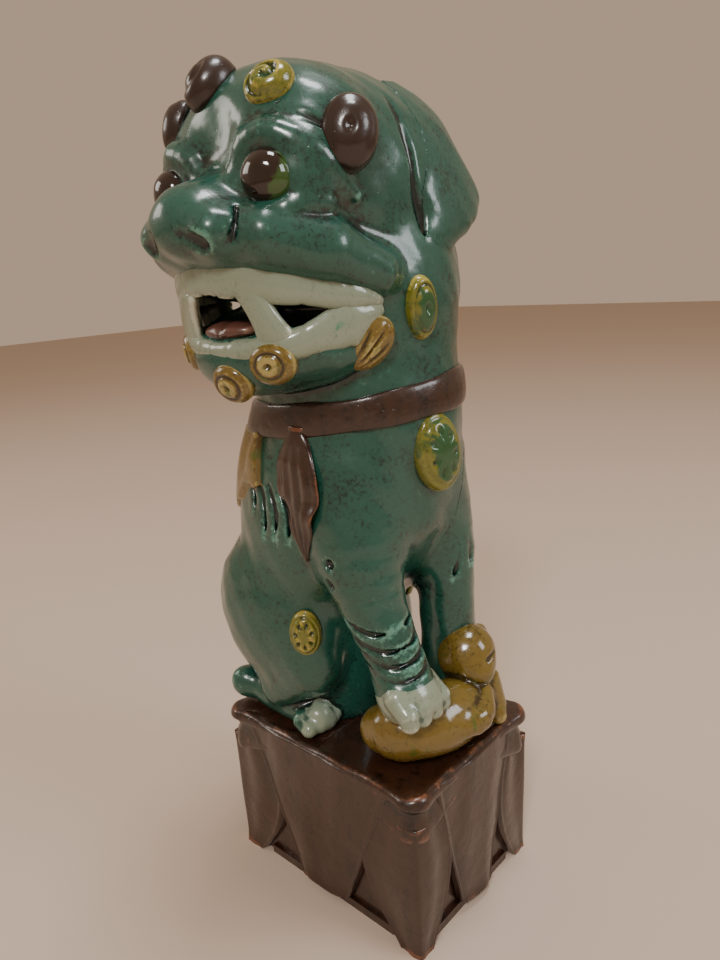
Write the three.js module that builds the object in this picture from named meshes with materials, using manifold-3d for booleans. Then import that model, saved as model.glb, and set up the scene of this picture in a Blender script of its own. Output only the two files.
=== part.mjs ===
// A glazed ceramic guardian lion (foo dog) with her cub, seated on a draped plinth.
// The real one is built from separate pieces of clay, luted together with slip before firing,
// so each piece is a solid of its own, and neighbours keep a thin slip joint between them.
// Millimetres, +Z up. The body faces +X and the head is turned to her right, to face -Y.
import * as THREE from "three";
import { mergeVertices } from "three/addons/utils/BufferGeometryUtils.js";
import Module from "manifold-3d";

const wasm = await Module();
wasm.setup();

// ---- Driving dimensions -------------------------------------------------------------------

const LUTE = 0.3; // slip joint between two pieces of clay

const PLINTH = { length: 83, width: 61, height: 56, wall: 6, taper: 0.97 };
const SLAB = { thickness: 11, corner: 6, roll: 2.2 }; // top slab with a rolled rim
const RAIL = { height: 3, depth: 1.2 }; // ledge round the foot of the plinth
const CLOTH = { flap: 2.8, step: 0.7, band: 10, footShare: 0.25, cornerShare: 0.29 };

const TORSO = { depth: 76, width: 60, height: 107.8 };
const HEAD = { x: -2, y: -9, rise: 55.4, wide: 32, deep: 33, tall: 31 }; // rise: above the torso
const MOUTH = { gape: 11 };
const EYE = { radius: 6.4 };
const EAR = { thickness: 8, depth: 25 };
const HAUNCH = { depth: 50, width: 30, height: 56 };
const FORELEG = { thickness: 19 };
const PAW = { length: 19, width: 17, height: 15 };
const CUB = { thickness: 20, head: 19 };
const COLLAR = { band: 8.5, thickness: 2.4, tiltX: 4.9, tiltY: -5.1, rise: 2.5 };
const TASSEL = { width: 13, length: 36, thickness: 7 };
const BELL = { width: 16, height: 24, proud: 5 };
const TAIL = { width: 18, height: 50, thickness: 8 };
const MANE = { thickness: 2.8, drop: 52 };

// ---- Glazes -------------------------------------------------------------------------------

const GLAZES = {
  green: { color: 0x2c6149, roughness: 0.15 },
  brown: { color: 0x4a2a1c, roughness: 0.2 },
  amber: { color: 0xa97a2a, roughness: 0.15 },
  olive: { color: 0x6f7026, roughness: 0.15 },
  cream: { color: 0xc9c8ae, roughness: 0.18 },
  dark: { color: 0x2a1d16, roughness: 0.12 },
  plum: { color: 0x6b4238, roughness: 0.3 },
};

// ---- Solids -------------------------------------------------------------------------------

const { degToRad } = THREE.MathUtils;

function solidOf(geometry) {
  const bare = geometry.clone();
  bare.deleteAttribute("normal");
  bare.deleteAttribute("uv");
  const merged = mergeVertices(bare, 1e-4);
  return new wasm.Manifold(
    new wasm.Mesh({
      numProp: 3,
      vertProperties: merged.attributes.position.array,
      triVerts: new Uint32Array(merged.index.array),
    }),
  );
}

function geometryOf(solid) {
  const mesh = solid.getMesh();
  return new THREE.BufferGeometry()
    .setAttribute("position", new THREE.BufferAttribute(mesh.vertProperties, 3))
    .setIndex(new THREE.BufferAttribute(mesh.triVerts, 1));
}

const join = (solids) => solids.reduce((a, b) => a.add(b));

// Turns a closed geometry the right way out if its faces point inwards.
function outward(geometry) {
  const solid = solidOf(geometry);
  if (solid.volume() > 0) return solid;
  const index = geometry.index.array;
  for (let k = 0; k < index.length; k += 3) {
    [index[k + 1], index[k + 2]] = [index[k + 2], index[k + 1]];
  }
  return solidOf(geometry);
}

// An ellipsoid at a centre, with its semi-axes, turned by X, Y and Z angles in degrees.
function ellipsoid(centre, radii, { turn = [0, 0, 0], grow = 0, around = 10 } = {}) {
  const ball = new THREE.SphereGeometry(1, around, Math.round(around * 0.6));
  ball.rotateX(Math.PI / 2);
  ball.scale(...radii.map((r) => r + grow));
  const angles = new THREE.Euler(...turn.map(degToRad), "XYZ");
  ball.applyMatrix4(new THREE.Matrix4().makeRotationFromEuler(angles));
  ball.translate(...centre);
  return solidOf(ball);
}

// A limb: a lathe bent along a smooth curve through elliptical stations.
// Each station is [x, y, z, radius along the guide, radius across it].
function limb(stations, { grow = 0, guide = [1, 0, 0], around = 8, steps = 6 } = {}) {
  const centre = new THREE.CatmullRomCurve3(stations.map((s) => new THREE.Vector3(...s)));
  const radii = new THREE.CatmullRomCurve3(
    stations.map((s) => new THREE.Vector3(s[3], s[4], 0)),
  );
  const profile = [new THREE.Vector2(0, 0)];
  for (let i = 0; i <= steps; i++) profile.push(new THREE.Vector2(1, i / steps));
  profile.push(new THREE.Vector2(0, 1));
  const skin = new THREE.LatheGeometry(profile, around);
  const p = skin.attributes.position;
  const towards = new THREE.Vector3(...guide);
  const [along, side, across, at, r] = Array.from({ length: 5 }, () => new THREE.Vector3());
  for (let i = 0; i < p.count; i++) {
    const t = p.getY(i);
    centre.getTangent(t, along);
    across.crossVectors(along, towards).normalize();
    side.crossVectors(across, along).normalize();
    centre.getPoint(t, at);
    radii.getPoint(t, r);
    at.addScaledVector(side, p.getX(i) * (r.x + grow));
    at.addScaledVector(across, p.getZ(i) * (r.y + grow));
    if (t === 0) at.addScaledVector(along, -grow);
    if (t === 1) at.addScaledVector(along, grow);
    p.setXYZ(i, at.x, at.y, at.z);
  }
  return outward(skin);
}

// A sprig: a domed pad whose thin axis points out of the surface it sits on.
function sprig(centre, facing, width, height, proud, { grow = 0, around = 8 } = {}) {
  const ball = new THREE.SphereGeometry(1, around, Math.round(around * 0.6));
  ball.scale(width / 2 + grow, height / 2 + grow, proud + grow);
  const out = new THREE.Vector3(...facing).normalize();
  const right = new THREE.Vector3(0, 0, 1).cross(out).normalize();
  const up = new THREE.Vector3().crossVectors(out, right);
  ball.applyMatrix4(new THREE.Matrix4().makeBasis(right, up, out));
  ball.translate(...centre);
  return solidOf(ball);
}

// ---- The pieces, in the order they are put together ---------------------------------------

const lion = new THREE.Group();
const shapes = {};

// Adds a piece, trimmed to leave a slip joint to each piece it is luted against.
function piece(name, glaze, shape, against = []) {
  const trimmed = against.reduce((solid, other) => solid.subtract(shapes[other](LUTE)), shape(0));
  const mesh = new THREE.Mesh(
    geometryOf(trimmed),
    new THREE.MeshStandardMaterial({ ...GLAZES[glaze], metalness: 0 }),
  );
  mesh.name = name;
  shapes[name] = shape;
  lion.add(mesh);
}

// ---- Plinth -------------------------------------------------------------------------------

// The plinth narrows towards its foot: x and y shrink in proportion to the depth below the top.
function tapered(geometry) {
  const p = geometry.attributes.position;
  for (let i = 0; i < p.count; i++) {
    const share = THREE.MathUtils.lerp(PLINTH.taper, 1, Math.min(1, p.getZ(i) / PLINTH.height));
    p.setXY(i, p.getX(i) * share, p.getY(i) * share);
  }
  return solidOf(geometry);
}

function slab(grow) {
  const [x, y] = [PLINTH.length / 2 - SLAB.roll + grow, PLINTH.width / 2 - SLAB.roll + grow];
  const r = SLAB.corner - SLAB.roll;
  const outline = new THREE.Shape();
  const corners = [[x - r, y - r], [r - x, y - r], [r - x, r - y], [x - r, r - y]];
  corners.forEach(([cx, cy], i) => {
    outline.absarc(cx, cy, r, (i * Math.PI) / 2, ((i + 1) * Math.PI) / 2);
  });
  const geometry = new THREE.ExtrudeGeometry(outline, {
    depth: SLAB.thickness - 2 * SLAB.roll,
    bevelThickness: SLAB.roll,
    bevelSize: SLAB.roll,
    bevelSegments: 2,
    curveSegments: 3,
  });
  geometry.translate(0, 0, PLINTH.height - SLAB.thickness + SLAB.roll + grow);
  return solidOf(geometry);
}

const wallTop = PLINTH.height - SLAB.thickness - LUTE;
const wallFace = (side) => side.out - CLOTH.flap - LUTE; // the cloth hangs in front of the wall

// The four sides: the turn about Z, the distance out from the middle, and the length.
const SIDES = [
  { name: "front", turn: 0, out: PLINTH.length / 2, long: PLINTH.width },
  { name: "left", turn: 90, out: PLINTH.width / 2, long: PLINTH.length },
  { name: "back", turn: 180, out: PLINTH.length / 2, long: PLINTH.width },
  { name: "right", turn: 270, out: PLINTH.width / 2, long: PLINTH.length },
];

// Stands an outline of [across, up] points against a side, from one distance out to another.
function panel(side, outline, inner, outer) {
  const shape = new THREE.Shape(outline.map(([s, z]) => new THREE.Vector2(s, z)));
  const geometry = new THREE.ExtrudeGeometry(shape, { depth: outer - inner, bevelEnabled: false });
  geometry.rotateX(Math.PI / 2);
  geometry.rotateZ(Math.PI / 2);
  geometry.translate(inner, 0, 0);
  geometry.rotateZ(degToRad(side.turn));
  return tapered(geometry);
}

const oblong = (half, low, high) => [[-half, low], [half, low], [half, high], [-half, high]];

// How far a corner cloth reaches along a side: a sine from its foot, at 0, to the slab, at 1.
const clothReach = (side, share) =>
  side.long * CLOTH.cornerShare * Math.sin((0.12 + 0.62 * share) * Math.PI);

// A wall with its foot rail, which runs between the corner cloths. The front and back walls run
// the full width, and the other two fit between them.
function wall(side) {
  const ends = side.turn % 180 === 0 ? 0 : PLINTH.wall + LUTE;
  const half = wallFace({ out: side.long / 2 }) - ends;
  const face = wallFace(side);
  const railHalf = side.long / 2 - clothReach(side, RAIL.height / wallTop) - CLOTH.step - LUTE;
  return join([
    panel(side, oblong(half, 0, wallTop), face - PLINTH.wall, face),
    panel(side, oblong(railHalf, 0, RAIL.height), face - 1, face + RAIL.depth),
  ]);
}

const clothFoot = RAIL.height + LUTE;

// The flap over the middle of a side hangs from the slab's rim and is blunt at its foot.
function flap(side, grow) {
  const top = side.long / 2 - CLOTH.band + grow;
  const foot = (side.long * CLOTH.footShare) / 2 + grow;
  const [low, high] = [clothFoot - grow, PLINTH.height - SLAB.roll + grow];
  const outline = [[-foot, low], [foot, low], [top, high], [-top, high]];
  return panel(side, outline, side.out - CLOTH.flap - grow, side.out + grow);
}

// The half of a corner cloth that hangs on one side: its free edge is a sine from foot to top.
function cornerPanel(side, hand) {
  const corner = side.long / 2 - CLOTH.step;
  const outline = [[corner, 0], [corner, wallTop]];
  const bends = 6;
  for (let i = bends; i >= 0; i--) {
    outline.push([corner - clothReach(side, i / bends), (wallTop * i) / bends]);
  }
  const placed = outline.map(([s, z]) => [hand * s, z]);
  return panel(side, placed, side.out - CLOTH.flap, side.out - CLOTH.step);
}

for (const side of SIDES) {
  piece(`plinth_wall_${side.name}`, "brown", () => wall(side));
}
for (const side of SIDES) {
  piece(`cloth_flap_${side.name}`, "brown", (grow) => flap(side, grow));
}
piece("plinth_slab", "brown", slab, SIDES.map((side) => `cloth_flap_${side.name}`));
SIDES.forEach((side, i) => {
  const next = SIDES[(i + 1) % SIDES.length];
  const flaps = [`cloth_flap_${side.name}`, `cloth_flap_${next.name}`];
  const both = () => join([cornerPanel(side, 1), cornerPanel(next, -1)]);
  piece(`corner_cloth_${side.name}_${next.name}`, "brown", both, flaps);
});

// ---- Body ---------------------------------------------------------------------------------

const seat = PLINTH.height + LUTE;

// The torso's outline: [height, middle in x, half depth, half width]. Heights are shares of the
// shoulder's height, and the last two are shares of the torso's greatest half depth and width.
const shoulder = TORSO.height - 19.8;
const TRUNK = [
  [-0.023, -19, 0.55, 0.68],
  [0.159, -20, 0.62, 0.8],
  [0.33, -20, 0.68, 0.86],
  [0.5, -17, 0.76, 0.93],
  [0.67, -11, 0.9, 1],
  [0.818, -7.5, 1, 1],
  [1, -4, 0.97, 0.98],
].map(([share, ...sizes]) => [share * shoulder, ...sizes]);
TRUNK.push([TORSO.height - 7.8, 0, 0.92, 0.96], [TORSO.height, 1.5, 0.86, 0.95]);

// The torso's middle, half depth and half width at a height above the seat.
function trunkAt(height) {
  const k = Math.max(1, TRUNK.findIndex((row) => row[0] >= height));
  const [low, high] = [TRUNK[k - 1], TRUNK[k]];
  const t = (height - low[0]) / (high[0] - low[0]);
  const [x, depth, width] = [1, 2, 3].map((j) => THREE.MathUtils.lerp(low[j], high[j], t));
  return { x, depth: (depth * TORSO.depth) / 2, width: (width * TORSO.width) / 2 };
}

const onSeat = ([x, y, height, ...rest]) => [x, y, seat + height, ...rest];

const trunk = (grow) =>
  limb(
    TRUNK.map(([height]) => {
      const at = trunkAt(height);
      return onSeat([at.x, 0, height, at.depth, at.width]);
    }),
    { grow, around: 18, steps: 10 },
  );
piece("torso", "green", trunk, ["plinth_slab"]);

const NEAR = ["right", -1]; // her right side, -Y
const OFF = ["left", 1];

for (const [name, hand] of [NEAR, OFF]) {
  const hip = trunkAt(37);
  const haunch = (grow) =>
    ellipsoid(
      onSeat([hip.x - 4, hand * (hip.width - 9), 37]),
      [HAUNCH.depth / 2, HAUNCH.width / 2, HAUNCH.height / 2],
      { turn: [0, -15, 0], grow, around: 12 },
    );
  piece(`${name}_haunch`, "green", haunch, ["torso", "plinth_slab"]);

  const line = hand * (hip.width - 7);
  const hindPaw = (grow) =>
    join([
      limb(
        [[-37, line, 7, 5.5, 6], [-22, line, 7.2, 7, 7], [1, line * 0.95, 5.8, 5.5, 5.5]].map(onSeat),
        { guide: [0, 0, 1], grow },
      ),
      ellipsoid(onSeat([-38, 1.2 * line, 8]), [4.5, 4.5, 4.5], { grow, around: 8 }),
    ]);
  piece(`${name}_hind_paw`, "green", hindPaw, ["torso", `${name}_haunch`, "plinth_slab"]);
}

// The right foreleg holds the cub down, the left one stands behind it.
const thick = FORELEG.thickness / 2;
const rightLeg = (grow) =>
  limb(
    [
      [11, -15, TORSO.height - 19.8, thick * 1.7, thick * 1.45],
      [16, -18, 68, thick * 1.65, thick * 1.4],
      [22, -17.5, 51, thick * 1.2, thick * 1.15],
      [27, -16.5, 38, thick, thick],
      [29.5, -17, 28, thick, thick],
    ].map(onSeat),
    { grow },
  );
piece("right_foreleg", "green", rightLeg, ["torso"]);
const leftLeg = (grow) =>
  limb(
    [
      [14, 13, TORSO.height - 21.8, thick * 1.4, thick * 1.4],
      [19, 15, 64, thick * 1.15, thick * 1.15],
      [21, 15, 42, thick * 0.95, thick * 0.95],
      [21, 15, 8, thick * 0.95, thick * 0.95],
    ].map(onSeat),
    { grow },
  );
piece("left_foreleg", "green", leftLeg, ["torso", "plinth_slab"]);

const pawRadii = [PAW.length / 2, PAW.width / 2, PAW.height / 2];
const rightPaw = (grow) => ellipsoid(onSeat([30.5, -18, 23.5]), pawRadii, { grow });
piece("right_fore_paw", "cream", rightPaw, ["right_foreleg"]);
const leftPaw = (grow) => ellipsoid(onSeat([24, 14, 7.5]), pawRadii, { grow });
piece("left_fore_paw", "green", leftPaw, ["left_foreleg", "plinth_slab"]);

const cubRadius = CUB.thickness / 2;
const cubBody = (grow) =>
  limb(
    [
      [21, -16, cubRadius, 0.7 * cubRadius, 0.7 * cubRadius],
      [27, -14.5, cubRadius, cubRadius, 0.95 * cubRadius],
      [32, -6, cubRadius, 1.05 * cubRadius, cubRadius],
      [32.5, 5, cubRadius, 1.05 * cubRadius, cubRadius],
      [30, 17, cubRadius, 0.85 * cubRadius, 0.8 * cubRadius],
    ].map(onSeat),
    { guide: [0, 0, 1], grow, around: 10 },
  );
piece("cub_body", "amber", cubBody, [
  "plinth_slab",
  "torso",
  "right_foreleg",
  "right_fore_paw",
  "left_foreleg",
  "left_fore_paw",
]);

const cubHead = (grow) =>
  join([
    ellipsoid(onSeat([29.5, 13, 23]), [CUB.head / 2, CUB.head / 2, CUB.head / 2 + 1.5], { grow }),
    ellipsoid(onSeat([33, 20, 27]), [2.5, 3, 4], { grow, around: 8 }),
  ]);
piece("cub_head", "amber", cubHead, [
  "cub_body",
  "left_foreleg",
  "left_fore_paw",
  "torso",
  "right_foreleg",
]);

const cubForeleg = (grow) =>
  limb(
    [[39, -9, 9, 4, 2.5], [41.5, -1, 9.5, 6, 3], [40, 7, 11.5, 4, 2.5]].map(onSeat),
    { guide: [0, 0, 1], grow, steps: 6 },
  );
piece("cub_foreleg", "amber", cubForeleg, ["cub_body", "cub_head"]);
const cubHindLeg = (grow) => ellipsoid(onSeat([36.5, 16.5, 10]), [3, 4, 7.5], { grow, around: 8 });
piece("cub_hind_leg", "amber", cubHindLeg, ["cub_body", "cub_head", "cub_foreleg", "plinth_slab"]);

// ---- Head ---------------------------------------------------------------------------------

// A point on the head, as shares of the skull's half width, depth and height from its middle.
const onHead = (x, y, z) => [
  HEAD.x + x * HEAD.wide,
  HEAD.y + y * HEAD.deep,
  seat + TORSO.height + HEAD.rise + z * HEAD.tall,
];

// A rounded mass of the head, its radii in the same shares.
const mass = (at, radii, grow, turn = 0) =>
  ellipsoid(
    onHead(...at),
    [radii[0] * HEAD.wide, radii[1] * HEAD.deep, radii[2] * HEAD.tall],
    { turn: [0, 0, turn], grow, around: 12 },
  );

const neckTop = trunkAt(TORSO.height);
const neck = (grow) =>
  limb(
    [
      onSeat([neckTop.x, 0, TORSO.height + LUTE, neckTop.depth, neckTop.width]),
      onSeat([1, -1, TORSO.height + 13.2, 0.979 * neckTop.depth, 1.018 * neckTop.width]),
      onSeat([1, 0, TORSO.height + 30.2, 33.5, 31.5]),
      [...onHead(0, 0, -0.3), 0.85 * HEAD.wide, 0.85 * HEAD.deep],
    ],
    { grow, around: 14, steps: 4 },
  );

// The open mouth: a hollow between the muzzle and the jaw that runs back to both corners.
const mouth = (grow) => {
  const front = [0.72 * HEAD.wide, 0.72 * HEAD.deep, MOUTH.gape / 2];
  const across = [0.9 * HEAD.wide, 0.4 * HEAD.deep, MOUTH.gape * 0.44];
  return join([
    ellipsoid(onHead(0, -1.1, -0.97), front, { grow }),
    ellipsoid(onHead(0, -0.5, -0.97), across, { grow }),
  ]);
};

const skull = (grow) =>
  join([
    neck(grow),
    mass([0, 0, 0], [1, 1, 1], grow),
    mass([-0.03, -0.35, 0.32], [0.97, 0.6, 0.63], grow),
    mass([0.5, -0.58, -0.56], [0.47, 0.6, 0.36], grow, -20),
    mass([-0.5, -0.58, -0.56], [0.47, 0.6, 0.36], grow, 20),
    mass([0, -0.73, -0.56], [0.78, 0.58, 0.36], grow),
  ]).subtract(mouth(-grow));
piece("head", "green", skull, ["torso"]);

// The jaw is cut level with the floor of the mouth, where the tongue lies.
const floorOfMouth = onHead(0, 0, -1.17)[2];
const jaw = (grow) => {
  const above = new THREE.BoxGeometry(3 * HEAD.wide, 6 * HEAD.deep, HEAD.tall);
  above.translate(HEAD.x, HEAD.y, floorOfMouth + grow + HEAD.tall / 2);
  return mass([0, -0.4, -1.28], [0.91, 0.73, 0.42], grow).subtract(solidOf(above));
};
piece("lower_jaw", "green", jaw, ["head"]);

const lipRow = (heights) => [
  [...onHead(0.86, -0.3, heights[0]), 3, 3],
  [...onHead(0.6, -0.94, heights[1]), 3.2, 3.2],
  [...onHead(0, -1.2, heights[2]), 3.4, 3.4],
  [...onHead(-0.6, -0.94, heights[1]), 3.2, 3.2],
  [...onHead(-0.86, -0.3, heights[0]), 3, 3],
];
const lip = (heights) => (grow) =>
  limb(lipRow(heights), { guide: [0, 0, 1], grow, around: 6, steps: 8 });
piece("upper_lip", "cream", lip([-0.84, -0.76, -0.7]), ["head"]);
piece("lower_lip", "cream", lip([-1.06, -1.16, -1.22]), ["head", "lower_jaw", "upper_lip"]);

const nose = (grow) => mass([0, -1.12, -0.27], [0.47, 0.4, 0.31], grow);
piece("nose", "green", nose, ["head", "upper_lip"]);

const tongue = (grow) => mass([0, -0.85, -1.12], [0.26, 0.42, 0.1], grow);
piece("tongue", "plum", tongue, ["head", "lower_jaw", "lower_lip"]);

// Pieces that come in pairs on the head. She faces -Y, so her left side is +X.
for (const [name, hand] of [["left", 1], ["right", -1]]) {
  const fang = (grow) =>
    limb(
      [
        [...onHead(hand * 0.42, -0.95, -0.8), 2.2, 2.2],
        [...onHead(hand * 0.5, -0.97, -0.95), 2.2, 2.2],
        [...onHead(hand * 0.58, -0.9, -1.14), 2.4, 2.4],
      ],
      { grow, around: 6, steps: 3 },
    );
  piece(`${name}_fang`, "cream", fang, ["head", "upper_lip", "lower_lip", "lower_jaw", "nose"]);

  const eye = (grow) =>
    ellipsoid(onHead(hand * 0.56, -0.94, 0.02), Array(3).fill(EYE.radius), { grow });
  piece(`${name}_eye`, "dark", eye, ["head", "nose"]);

  const brow = (grow) =>
    limb(
      [
        [...onHead(hand * 0.26, -1.02, 0.2), 2.4, 2.6],
        [...onHead(hand * 0.56, -1, 0.33), 2.4, 3],
        [...onHead(hand * 0.84, -0.8, 0.14), 2.4, 3],
        [...onHead(hand * 1, -0.52, -0.18), 2, 2.2],
      ],
      { grow, guide: [0, 1, 0], around: 6, steps: 5 },
    );
  piece(`${name}_brow`, "green", brow, ["head", `${name}_eye`]);

  const ear = (grow) => {
    const blade = [
      [0.64, 0.42, 0.79, 0.38, 0.4],
      [0.78, 0.48, 0.47, 0.75, 0.72],
      [0.91, 0.56, 0.08, 1, 1],
      [1.0, 0.61, -0.27, 1, 0.96],
      [1.02, 0.61, -0.5, 0.6, 0.4],
    ];
    return limb(
      blade.map(([x, y, z, thick, deep]) => [
        ...onHead(hand * x, y, z),
        (deep * EAR.depth) / 2,
        (thick * EAR.thickness) / 2,
      ]),
      { grow, guide: [0, 1, 0], around: 10, steps: 6 },
    );
  };
  piece(`${name}_ear`, "green", ear, ["head"]);
}

// The curls of her mane: sprigs pressed from a mould and luted on, each facing out of the head.
const CURLS = [
  ["left_temple_curl", "brown", [0.94, -0.5, 0.3], [0.7, -0.6, 0.2], 13, 17, 5.5],
  ["left_forehead_curl", "olive", [0.4, -0.68, 0.62], [0.3, -0.75, 0.6], 12, 11, 4],
  ["right_forehead_curl", "brown", [-0.24, -0.74, 0.8], [-0.2, -0.7, 0.7], 12, 15, 6],
  ["right_temple_curl", "brown", [-0.82, -0.7, 0.6], [-0.8, -0.6, 0.3], 11, 14, 6],
  ["crown_curl", "olive", [0.1, 0.62, 0.86], [0, 0.3, 1], 16, 12, 3],
  ["left_cheek_curl", "olive", [1.02, 0.08, -1.04], [1, -0.2, -0.1], 8, 16, 4],
  ["right_cheek_curl", "olive", [-1.02, 0.08, -1.04], [-1, -0.2, -0.1], 8, 16, 4],
  ["left_jaw_curl", "amber", [0.93, -0.36, -1.28], [0.8, -0.5, -0.3], 14, 20, 4],
  ["right_jaw_curl", "amber", [-0.93, -0.36, -1.28], [-0.8, -0.5, -0.3], 14, 20, 4],
  ["left_chin_curl", "amber", [0.48, -0.99, -1.34], [0.35, -0.9, -0.15], 12, 10, 3.5],
  ["middle_chin_curl", "amber", [0.1, -1.1, -1.5], [0.1, -0.9, -0.4], 12, 11, 3.5],
  ["right_chin_curl", "amber", [-0.56, -0.95, -1.27], [-0.5, -0.8, -0.2], 11, 11, 3.5],
];
const headPieces = ["head", "lower_jaw", "lower_lip", "left_brow", "right_brow", "torso"];
const placedCurls = [];
for (const [name, glaze, at, facing, width, height, proud] of CURLS) {
  const shape = (grow) => sprig(onHead(...at), facing, width, height, proud, { grow });
  piece(name, glaze, shape, [...headPieces, ...placedCurls, "left_ear", "right_ear"]);
  placedCurls.push(name);
}

// ---- Collar and what hangs on the body ----------------------------------------------------

// Things round the neck lie in a tilted plane, which rises towards her front and her left.
function roundTheNeck(section) {
  const ring = new THREE.LatheGeometry(section.map(([r, z]) => new THREE.Vector2(r, z)), 22);
  ring.rotateX(Math.PI / 2);
  ring.scale(neckTop.depth + COLLAR.thickness, neckTop.width + COLLAR.thickness, 1);
  ring.rotateX(degToRad(COLLAR.tiltX));
  ring.rotateY(degToRad(COLLAR.tiltY));
  ring.translate(neckTop.x, 0, seat + TORSO.height + COLLAR.rise - COLLAR.band / 2);
  return outward(ring);
}

function collarStrap(grow) {
  const half = COLLAR.band / 2 + grow;
  const outer = 1 + grow / neckTop.width;
  const [inner, rounded] = [0.8, outer - 0.04];
  return roundTheNeck([
    [inner, -half], [rounded, -half], [outer, 0], [rounded, half], [inner, half], [inner, -half],
  ]);
}
piece("collar", "brown", collarStrap, ["torso", "head", "lower_jaw", ...placedCurls]);

const bellHeight = TORSO.height - 14.8;
const bellAt = trunkAt(bellHeight);
const bell = (grow) =>
  sprig(
    onSeat([bellAt.x + bellAt.depth, 0, bellHeight]),
    [1, -0.2, 0],
    BELL.width,
    BELL.height,
    BELL.proud,
    { grow },
  );
piece("chest_bell", "olive", bell, ["torso", "collar"]);

for (const [name, hand] of [NEAR, OFF]) {
  const hang = (share) => {
    const height = TORSO.height - 7.8 - share * TASSEL.length;
    return [4 - 1.5 * share, hand * (trunkAt(height).width * 0.99), height];
  };
  const tassel = (grow) =>
    limb(
      [
        [...hang(0), 0.3, 0.4],
        [...hang(0.3), 0.85, 0.95],
        [...hang(0.65), 1, 1],
        [...hang(1), 0.15, 0.3],
      ].map(([x, y, z, wide, thickShare]) =>
        onSeat([x, y, z, (wide * TASSEL.width) / 2, (thickShare * TASSEL.thickness) / 2]),
      ),
      { grow, around: 8, steps: 5 },
    );
  piece(`${name}_tassel`, "brown", tassel, ["torso", `${name}_foreleg`, "collar"]);

  const knee = trunkAt(34);
  const kneeCurl = (grow) =>
    sprig(
      onSeat([knee.x + 17, hand * (knee.width + 2), 38]),
      [0.7, hand, 0],
      9.5,
      14,
      4,
      { grow },
    );
  piece(`${name}_knee_curl`, "olive", kneeCurl, [`${name}_haunch`, "torso", `${name}_foreleg`]);
}

// The tail stands up against her back, and the mane lies over it below the collar.
const tailRow = [
  [3, 0.35, 0.6],
  [16, 0.7, 1],
  [34, 1, 1],
  [TAIL.height, 0.25, 0.5],
];
const tail = (grow) =>
  limb(
    tailRow.map(([height, wide, thickShare]) => {
      const at = trunkAt(height);
      return onSeat([
        at.x - at.depth - TAIL.thickness / 4,
        0,
        height,
        (wide * TAIL.width) / 2,
        (thickShare * TAIL.thickness) / 2,
      ]);
    }),
    { grow, guide: [0, 1, 0] },
  );
piece("tail", "brown", tail, ["torso", "right_haunch", "left_haunch", "plinth_slab"]);

// The mane is a skin over the back, cut to a downward point by a cone.
function mane(grow) {
  const back = trunkAt(TORSO.height - MANE.drop);
  const foot = TORSO.height - MANE.drop;
  const cone = new THREE.LatheGeometry(
    [[0, 0], [0.95 * TORSO.width, MANE.drop * 1.2], [0, MANE.drop * 1.2]].map(
      ([r, z]) => new THREE.Vector2(r, z),
    ),
    16,
  );
  cone.rotateX(Math.PI / 2);
  cone.scale(0.75, 1, 1);
  cone.translate(back.x - back.depth - 2, 0, seat + foot);
  const aboveStrap = roundTheNeck([[0, 0], [1.4, 0], [1.4, TORSO.height / 3], [0, TORSO.height / 3]]);
  return trunk(MANE.thickness + grow).intersect(outward(cone)).subtract(aboveStrap);
}
piece("back_mane", "amber", mane, ["torso", "collar", "tail"]);

// ---- Origin: the middle of the outer box, on the floor ------------------------------------

const box = new THREE.Box3().setFromObject(lion);
const middle = box.getCenter(new THREE.Vector3());
lion.position.set(-middle.x, -middle.y, -box.min.z);

export default lion;
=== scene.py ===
# %% [markdown]
# # A glazed guardian lion on a draped plinth
# The real statue is built from pieces of soft clay, pressed in moulds or rolled by hand, luted
# together with slip, fired, and then flooded with coloured lead glazes that run and pool.
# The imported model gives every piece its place. Each one is shown here by a finer surface that
# stands for it, because a potter's thumb leaves no facets.

import math
from functools import partial

import bpy
import numpy as np
from mathutils import Matrix, Vector


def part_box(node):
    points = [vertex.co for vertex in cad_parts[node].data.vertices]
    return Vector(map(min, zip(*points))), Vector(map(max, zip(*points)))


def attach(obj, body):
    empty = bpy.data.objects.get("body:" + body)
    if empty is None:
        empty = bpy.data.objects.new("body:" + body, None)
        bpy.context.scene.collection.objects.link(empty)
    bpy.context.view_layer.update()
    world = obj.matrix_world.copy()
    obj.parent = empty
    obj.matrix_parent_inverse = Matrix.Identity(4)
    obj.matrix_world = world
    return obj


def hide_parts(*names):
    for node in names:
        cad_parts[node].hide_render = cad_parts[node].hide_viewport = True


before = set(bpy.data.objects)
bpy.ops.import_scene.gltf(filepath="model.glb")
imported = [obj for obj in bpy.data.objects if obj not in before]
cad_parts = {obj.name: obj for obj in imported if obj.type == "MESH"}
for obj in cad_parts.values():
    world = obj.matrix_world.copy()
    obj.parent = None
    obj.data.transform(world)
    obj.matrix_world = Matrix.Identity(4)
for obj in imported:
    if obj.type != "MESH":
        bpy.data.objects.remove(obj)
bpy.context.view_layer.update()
print("the packed model holds", len(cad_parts), "pieces")

# %% [markdown]
# ## Where things are
# Shapes are worked out in millimetres from the middle of the plinth, on the floor. The middle
# comes from the slab's box, and the head's own middle comes from the two eyes, which sit
# 31 mm in front of the skull's centre.

# %% Measures taken from the frame
MM = 0.001


def box_mm(node):
    """The lowest and highest corners of a node's box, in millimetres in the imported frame."""
    return [np.array(corner, float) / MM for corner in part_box(node)]


slab_low, slab_high = box_mm("plinth_slab")
MIDDLE = np.array([*(slab_low + slab_high)[:2] / 2, 0.0])
SLAB_TOP = float(slab_high[2])
PLINTH_HALF = (slab_high - slab_low)[:2] / 2


def centre_of(node):
    """The middle of a node's box, measured from the middle of the plinth."""
    low, high = box_mm(node)
    return (low + high) / 2 - MIDDLE


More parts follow.
